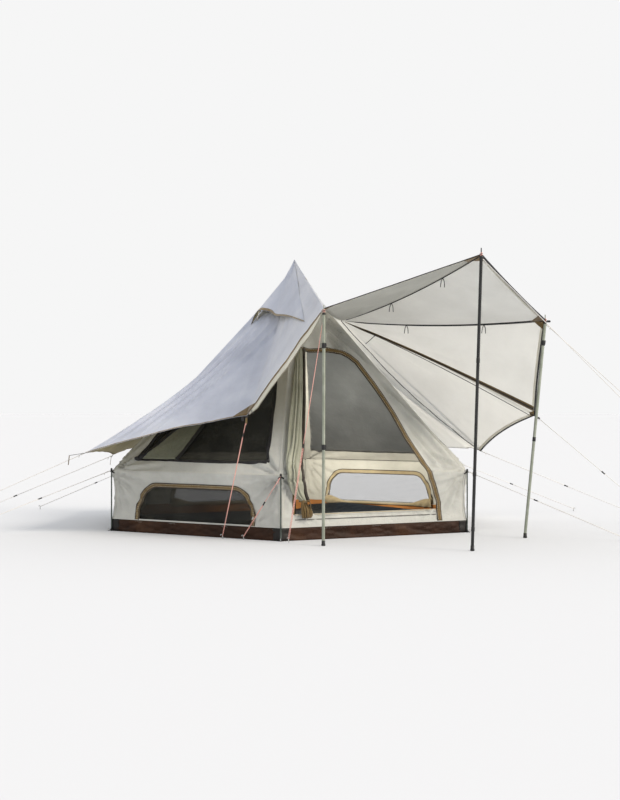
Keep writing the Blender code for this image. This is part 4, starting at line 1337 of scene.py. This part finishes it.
def makePole(name):
    pole, bm = poles[name], bmesh.new()
    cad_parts[name].material_slots[0].material = finishes[pole["finish"]]
    plastic, cord, line = range(3)
    way = poles["leverWay"]
    for kind, length in (("clamp", poles["clampLength"]), ("collar", poles["collarLength"])):
        for height in pole[kind + "s"]:
            low, high = polePoint(name, height - length / 2), polePoint(name, height + length / 2)
            addTurned(bm, low, high, poles[kind])
            if kind == "clamp":
                lever = [low + way * 0.018 + up * 0.008, low + way * 0.021 + up * 0.024, high + way * 0.018]
                addTube(bm, smoothPath(lever, 0.006), 0.005, squash=0.6)
    foot, top = Vector((*pole["foot"], 0.0)), polePoint(name, pole["height"] - poles["pin"])
    addTurned(bm, foot + up * 0.0015, foot + up * 0.047, poles["foot"])
    addTurned(bm, top - up * 0.016, top + up * 0.004, poles["cap"])
    # Three turns of line round the pin, each a little askew
    turn = math.tau * len(name) / 7
    for ring in range(3):
        loop = [top + up * (0.010 + 0.008 * ring)
                + Vector((math.cos(a), math.sin(a), 0.25 * math.sin(a + turn))) * 0.0105 for a in circle(16)]
        addTube(bm, loop, 0.0034, sides=6, slot=cord if ring == 1 else line, closed=True)
    makeTrim(name + "_fittings", bm, ["plastic", "cord", "rope"], "black_tube")


# At each corner the canvas hangs from a ring on the wall pole and is held down by a loop and a peg
def makeCornerFittings(index, corner):
    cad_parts[corner + "_wall_pole"].material_slots[0].material = finishes["darkTube"]
    way = cornerPoint(index, 1)
    side = Vector((-way.y, way.x, 0))
    pole, bm = way * poleReach, bmesh.new()
    plastic, web, steel = range(3)
    height, tip = eave - 0.006, pole + up * poles["wallHeight"]
    ring = [pole + up * height + (way * math.cos(a) + side * math.sin(a)) * 0.0135 for a in circle(20)]
    addTube(bm, ring, 0.0040, closed=True)
    addTurned(bm, tip - up * 0.022, tip + up * 0.006, poles["wallCap"])
    addTurned(bm, pole + up * 0.001, pole + up * 0.03, poles["wallFoot"])
    for end in (-1, 1):
        tab = [way * 1.990 + side * end * 0.026 + up * (height - 0.016),
               way * 2.001 + side * end * 0.012 + up * (height - 0.004), way * 2.004 + up * (height + 0.002)]
        addTube(bm, smoothPath(tab, 0.01), 0.007, slot=web, squash=0.25, guide=way)
    strap = [way * reach + up * z for reach, z in
             ((1.999, 0.085), (2.006, 0.040), (2.024, 0.010), (2.040, 0.005))]
    addTube(bm, smoothPath(strap, 0.008), 0.012, slot=web, squash=0.16, guide=way)
    pegTop = way * 2.046 + up * 0.020
    hook = [pegTop, pegTop + up * 0.006 - way * 0.005, pegTop + up * 0.004 - way * 0.014]
    for path in ([way * 2.040, pegTop], smoothPath(hook, 0.004)):
        addTube(bm, path, 0.0032, slot=steel)
    makeTrim(corner + "_corner_fittings", bm, ["plastic", "blackWeb", "steel"], "black_tube")


# Guys: each runs taut from what it holds to its peg, single down to a slider and doubled below it.
# top, peg on the ground, and the slider's share of the way down.
guys = {
    "front_pole_guy": [polePoint("front_pole", 2.038), (-0.98, -1.85), 0.58],
    "tall_pole_guy": [polePoint("tall_pole", 2.498), (2.64, -4.01), 0.55],
    "right_pole_guy": [polePoint("right_pole", 1.998), (3.14, -3.71), 0.55],
    "left_fly_guy": [Vector((-1.20, -1.43, 1.1366)), (-1.38, -1.28), 0.16],
    "far_left_fly_guy": [Vector((-2.39, -0.32, 0.78)), (-4.0, 0.2), 0.6],
    "rear_left_fly_guy": [Vector((-1.80, 0.55, 0.72)), (-3.30, 1.26), 0.6],
    "awning_low_guy": [Vector((1.60, -2.02, 1.14)), (2.60, -2.87), 0.5],
    "awning_rear_guy": [Vector((1.63, -1.03, 0.76)), (3.27, -1.75), 0.5],
}
for index, corner in enumerate(tent["corners"]):
    way = cornerPoint(index, 1)
    peg = (-1.24, -1.44) if corner == "front" else (way * 3.6).xy
    guys[corner + "_wall_guy"] = [way * (poleReach + 0.012) + up * eave, peg, 0.45]
guyParts = {
    "salmon": ["front_pole_guy", "left_fly_guy", "front_wall_guy"],
    "rope": 0.0032, "split": 0.012, "pegHeight": 0.03, "sliderHalf": 0.022,
    "knot": [(0, 0.003), (0.25, 0.0060), (0.5, 0.0048), (0.75, 0.0060), (1, 0.003)],
    "slider": [(0, 0.004), (0.1, 0.0072), (0.42, 0.0058), (0.58, 0.0058), (0.9, 0.0072), (1, 0.004)],
}


def makeGuy(name, top, peg, share):
    foot = Vector((*peg, 0.0))
    head = foot + up * guyParts["pegHeight"]
    way = (head - top).normalized()
    side, lean = way.cross(up).normalized(), Vector((way.x, way.y, 0)).normalized()
    slider, half, thick = top.lerp(head, share), guyParts["sliderHalf"], guyParts["rope"]
    bm = bmesh.new()
    rope, plastic, steel = range(3)
    addTube(bm, straightPath([top, slider], 0.25), thick, slot=rope)
    for end in (-1, 1):
        strand = [slider, slider + way * 0.02 + side * end * guyParts["split"] / 2, head + side * end * 0.006]
        addTube(bm, straightPath(strand, 0.3), thick * 0.85, slot=rope)
    knot = top + way * 0.018
    addTurned(bm, knot, knot + way * 0.022, guyParts["knot"], sides=10, slot=rope)
    tail = [knot + way * 0.016, knot + way * 0.03 + side * 0.012,
            knot + way * 0.045 + side * 0.016 - up * 0.02]
    addTube(bm, smoothPath(tail, 0.008), thick * 0.8, sides=6, slot=rope)
    addTurned(bm, slider - way * half, slider + way * half, guyParts["slider"], sides=12, slot=plastic)
    addTube(bm, straightPath([foot - lean * 0.004, head + lean * 0.002], 0.01), 0.0042, slot=steel)
    hook = [head + lean * reach + up * z for reach, z in
            ((0.002, 0), (0.002, 0.010), (0.016, 0.012), (0.020, 0.002))]
    addTube(bm, smoothPath(hook, 0.004), 0.0036, slot=steel)
    key = "rope" if name in guyParts["salmon"] else "paleRope"
    makeTrim(name + "_line", bm, [key, "plastic", "steel"], "guy_line", name)


for name in ("front_pole", "tall_pole", "right_pole"):
    makePole(name)
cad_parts["centre_pole"].material_slots[0].material = finishes["blackTube"]
for index, corner in enumerate(tent["corners"]):
    makeCornerFittings(index, corner)
for name, plan in guys.items():
    makeGuy(name, *plan)
print("poles and guys done")


# Stitches and zip teeth: one tree repeats a small block along edge paths. Each path point carries the
# surface's outward direction, so that every block stands square on the cloth.
sewing = {"spacing": 0.018, "stitch": (0.010, 0.0016, 0.0012), "toothSpacing": 0.007,
          "tooth": (0.0042, 0.011, 0.0022), "jitter": 0.10, "seed": 7}


def repeatTree():
    tree = bpy.data.node_groups.new("repeatAlongPath", "GeometryNodeTree")
    for name, kind in (("Geometry", "Geometry"), ("Spacing", "Float"), ("Size", "Vector"),
                       ("Jitter", "Float"), ("Seed", "Int"), ("Finish", "Material")):
        tree.interface.new_socket(name, in_out="INPUT", socket_type="NodeSocket" + kind)
    tree.interface.new_socket("Geometry", in_out="OUTPUT", socket_type="NodeSocketGeometry")
    given = addNode(tree, "NodeGroupInput").outputs
    line = addNode(tree, "GeometryNodeMeshToCurve", {"Mesh": given["Geometry"]})
    even = addNode(tree, "GeometryNodeResampleCurve", {"Curve": line, "Length": given["Spacing"]},
                   mode="LENGTH")
    outward = addNode(tree, "GeometryNodeInputNamedAttribute", {"Name": "outward"}, data_type="FLOAT_VECTOR")
    standing = addNode(tree, "FunctionNodeAlignRotationToVector", {"Vector": outward.outputs["Attribute"]},
                       axis="Z")
    tangent = addNode(tree, "GeometryNodeInputTangent")
    turned = addNode(tree, "FunctionNodeAlignRotationToVector", {"Rotation": standing, "Vector": tangent},
                     axis="X", pivot_axis="Z")
    least = addNode(tree, "ShaderNodeMath", {0: given["Jitter"], 1: -1.0}, operation="MULTIPLY")
    chance = addNode(tree, "FunctionNodeRandomValue", {2: least, 3: given["Jitter"], "Seed": given["Seed"]},
                     data_type="FLOAT")
    swing = addNode(tree, "ShaderNodeCombineXYZ", {"Z": chance.outputs[1]})
    swung = addNode(tree, "FunctionNodeRotateRotation", {"Rotation": turned, "Rotate By": swing},
                    rotation_space="LOCAL")
    block = addNode(tree, "GeometryNodeMeshCube", {"Size": given["Size"]})
    blocks = addNode(tree, "GeometryNodeInstanceOnPoints",
                     {"Points": even, "Instance": block, "Rotation": swung})
    real = addNode(tree, "GeometryNodeRealizeInstances", {"Geometry": blocks})
    dressed = addNode(tree, "GeometryNodeSetMaterial", {"Geometry": real, "Material": given["Finish"]})
    addNode(tree, "NodeGroupOutput", {"Geometry": dressed})
    return tree


def addPath(bm, points, outward):
    layer = bm.verts.layers.float_vector.get("outward") or bm.verts.layers.float_vector.new("outward")
    verts = [bm.verts.new(point) for point in points]
    for vert, way in zip(verts, outward):
        vert[layer] = way
    for a, b in zip(verts, verts[1:]):
        bm.edges.new((a, b))


def addSidePath(bm, index, path, out=0.0, lift=0.0032):
    points = [canvasPoint(index, x, y, lift) for x, y in shiftedPath(path, out, 0.03)[0]]
    addPath(bm, points, [axes[index][2 if y <= eave else 4] for x, y in path2d(path, 0.03)])


def repeatAlong(name, bm, tree, slot, spacing, size, key):
    piece = meshObject(name, bm)
    modifier = piece.modifiers.new("repeat", "NODES")
    modifier.node_group = tree
    values = {"Spacing": spacing, "Size": size, "Jitter": sewing["jitter"], "Seed": sewing["seed"],
              "Finish": finishes[key]}
    for item in tree.interface.items_tree:
        if item.item_type == "SOCKET" and item.in_out == "INPUT" and item.name in values:
            modifier[item.identifier] = values[item.name]
    made = bpy.data.meshes.new_from_object(piece.evaluated_get(bpy.context.evaluated_depsgraph_get()))
    piece.modifiers.clear()
    piece.data = made
    register(piece, slot)


def makeSewing():
    tree, bm = repeatTree(), bmesh.new()
    top = eave + slopeLength * 0.97
    inset = canvas["seam"] + 0.007
    for index in range(6):
        for side in (-1, 1):
            wallX, roofX, topX = [side * x for x in (halfWidth(0) - inset, halfWidth(eave) - inset,
                                                     halfWidth(top) - 0.012)]
            addSidePath(bm, index, [(roofX, eave + 0.02), (topX, top)])
            addSidePath(bm, index, [(wallX, 0.13), (wallX, eave - 0.01)])
        runs = [(-0.96, doorLeft(eave) - 0.02), (0.66, 0.96)] if index == doorSide else [(-0.96, 0.96)]
        for start, end in runs:
            for height in (eave + 0.006, eave + 0.018):
                addSidePath(bm, index, [(start, height), (end, height)], lift=0.0034)
        if index == doorSide:
            for out in (0.012, door["trim"] - 0.012):
                addSidePath(bm, index, doorEdge, out=door["lap"] + out, lift=0.0068)
            addSidePath(bm, index, [(doorLeft(0.2) + 0.02, 0.215), (0.70, 0.215)], lift=0.003)
        else:
            for out in (0.010, window["trim"] - 0.018):
                addSidePath(bm, index, windowArch(), out=out, lift=0.0064)
    repeatAlong("canvas_stitches", bm, tree, "canvas", sewing["spacing"], sewing["stitch"], "thread")

    bm = bmesh.new()
    steps = [u % hemCount for u in hemSteps(0, 8, 0.05)]
    for inset in (0.004, 0.011):
        addPath(bm, [flyPoint(u, 1 - inset / fly["fall"], 0.0042) for u in steps],
                [flyNormal(u, 0.99) for u in steps])
    for inset in (0.006, hood["band"] - 0.006):
        addPath(bm, [hoodPoint(share, 1 - inset / 0.9, 0.0050) for share in shares(80)], [up] * 81)
    for k in range(4):
        steps = [k + share for share in shares(24)]
        addPath(bm, [awningPoint(u, 0.988, -0.0046) for u in steps], [-awningNormal(u, 0.98) for u in steps])
    steps = [0.05 + 0.93 * share for share in shares(30)]
    for u in (1, 2, 3):
        for side in (-0.012, 0.012):
            addPath(bm, [awningPoint(u + side, out, 0.0042) for out in steps],
                    [awningNormal(u, out) for out in steps])
    repeatAlong("fly_stitches", bm, tree, "fly_cloth", sewing["spacing"] * 1.2, sewing["stitch"], "thread")

    bm = bmesh.new()
    addSidePath(bm, doorSide, doorEdge, out=door["lap"] + 0.004, lift=0.0086)
    for index in range(6):
        if index != doorSide:
            addSidePath(bm, index, windowArch(), out=-0.001, lift=0.0086)
    repeatAlong("zip_teeth", bm, tree, "canvas", sewing["toothSpacing"], sewing["tooth"], "zip")


makeSewing()
print("sewing done")


# Stage: pale floor, soft key from the right, and an even pale surround. Each sun is energy, the angle it
# spans in the sky, its turn in degrees and its colour.
light = {
    "floor": "#d1d3d7", "floorRadius": 120, "surround": "#f6f6f6",
    "suns": {"sun": (2.0, 16.0, (52, 0, 32), "#fff5e6"), "low": (0.8, 30.0, (78, 0, 42), "#fff5e6"),
             "side": (0.5, 40.0, (60, 0, 86), "#ffffff")},
    # A lamp inside the tent, for what the pale ground outside throws in through the windows
    "inside": {"energy": 32, "size": 0.7, "spread": math.radians(110)}, "insideColour": "#fff6e4",
    "insideAt": Vector((-0.35, -0.45, 1.2)), "insideTo": Vector((1.0, 0.9, 0.75)),
}


def makeStage():
    bm = bmesh.new()
    bmesh.ops.create_circle(bm, cap_ends=True, segments=64, radius=light["floorRadius"])
    for face in bm.faces:
        if face.normal.z < 0:
            face.normal_flip()
    material, tree, shader, room = newMaterial("paleStudioFloor")
    connect(tree, shader,
            {"Base Color": hexColour(light["floor"]), "Roughness": 1.0, "Specular IOR Level": 0.0})
    meshObject("studio_floor", bm, [material])
    world = bpy.data.worlds.new("studio")
    world.use_nodes = True
    connect(world.node_tree, world.node_tree.nodes["Background"], {"Color": hexColour(light["surround"])})
    bpy.context.scene.world = world
    for name, (energy, angle, turn, colour) in light["suns"].items():
        sun = bpy.data.lights.new(name, "SUN")
        sun.energy, sun.angle, sun.color = energy, math.radians(angle), hexColour(colour)[:3]
        addObject(name, sun, turn=[math.radians(a) for a in turn])
    glow = bpy.data.lights.new("inside", "AREA")
    for setting, value in light["inside"].items():
        setattr(glow, setting, value)
    glow.color = hexColour(light["insideColour"])[:3]
    aim = light["insideTo"] - light["insideAt"]
    addObject("inside", glow, light["insideAt"], aim.to_track_quat("-Z", "Y").to_euler())
    bpy.context.scene.view_settings.view_transform = "Standard"


makeStage()
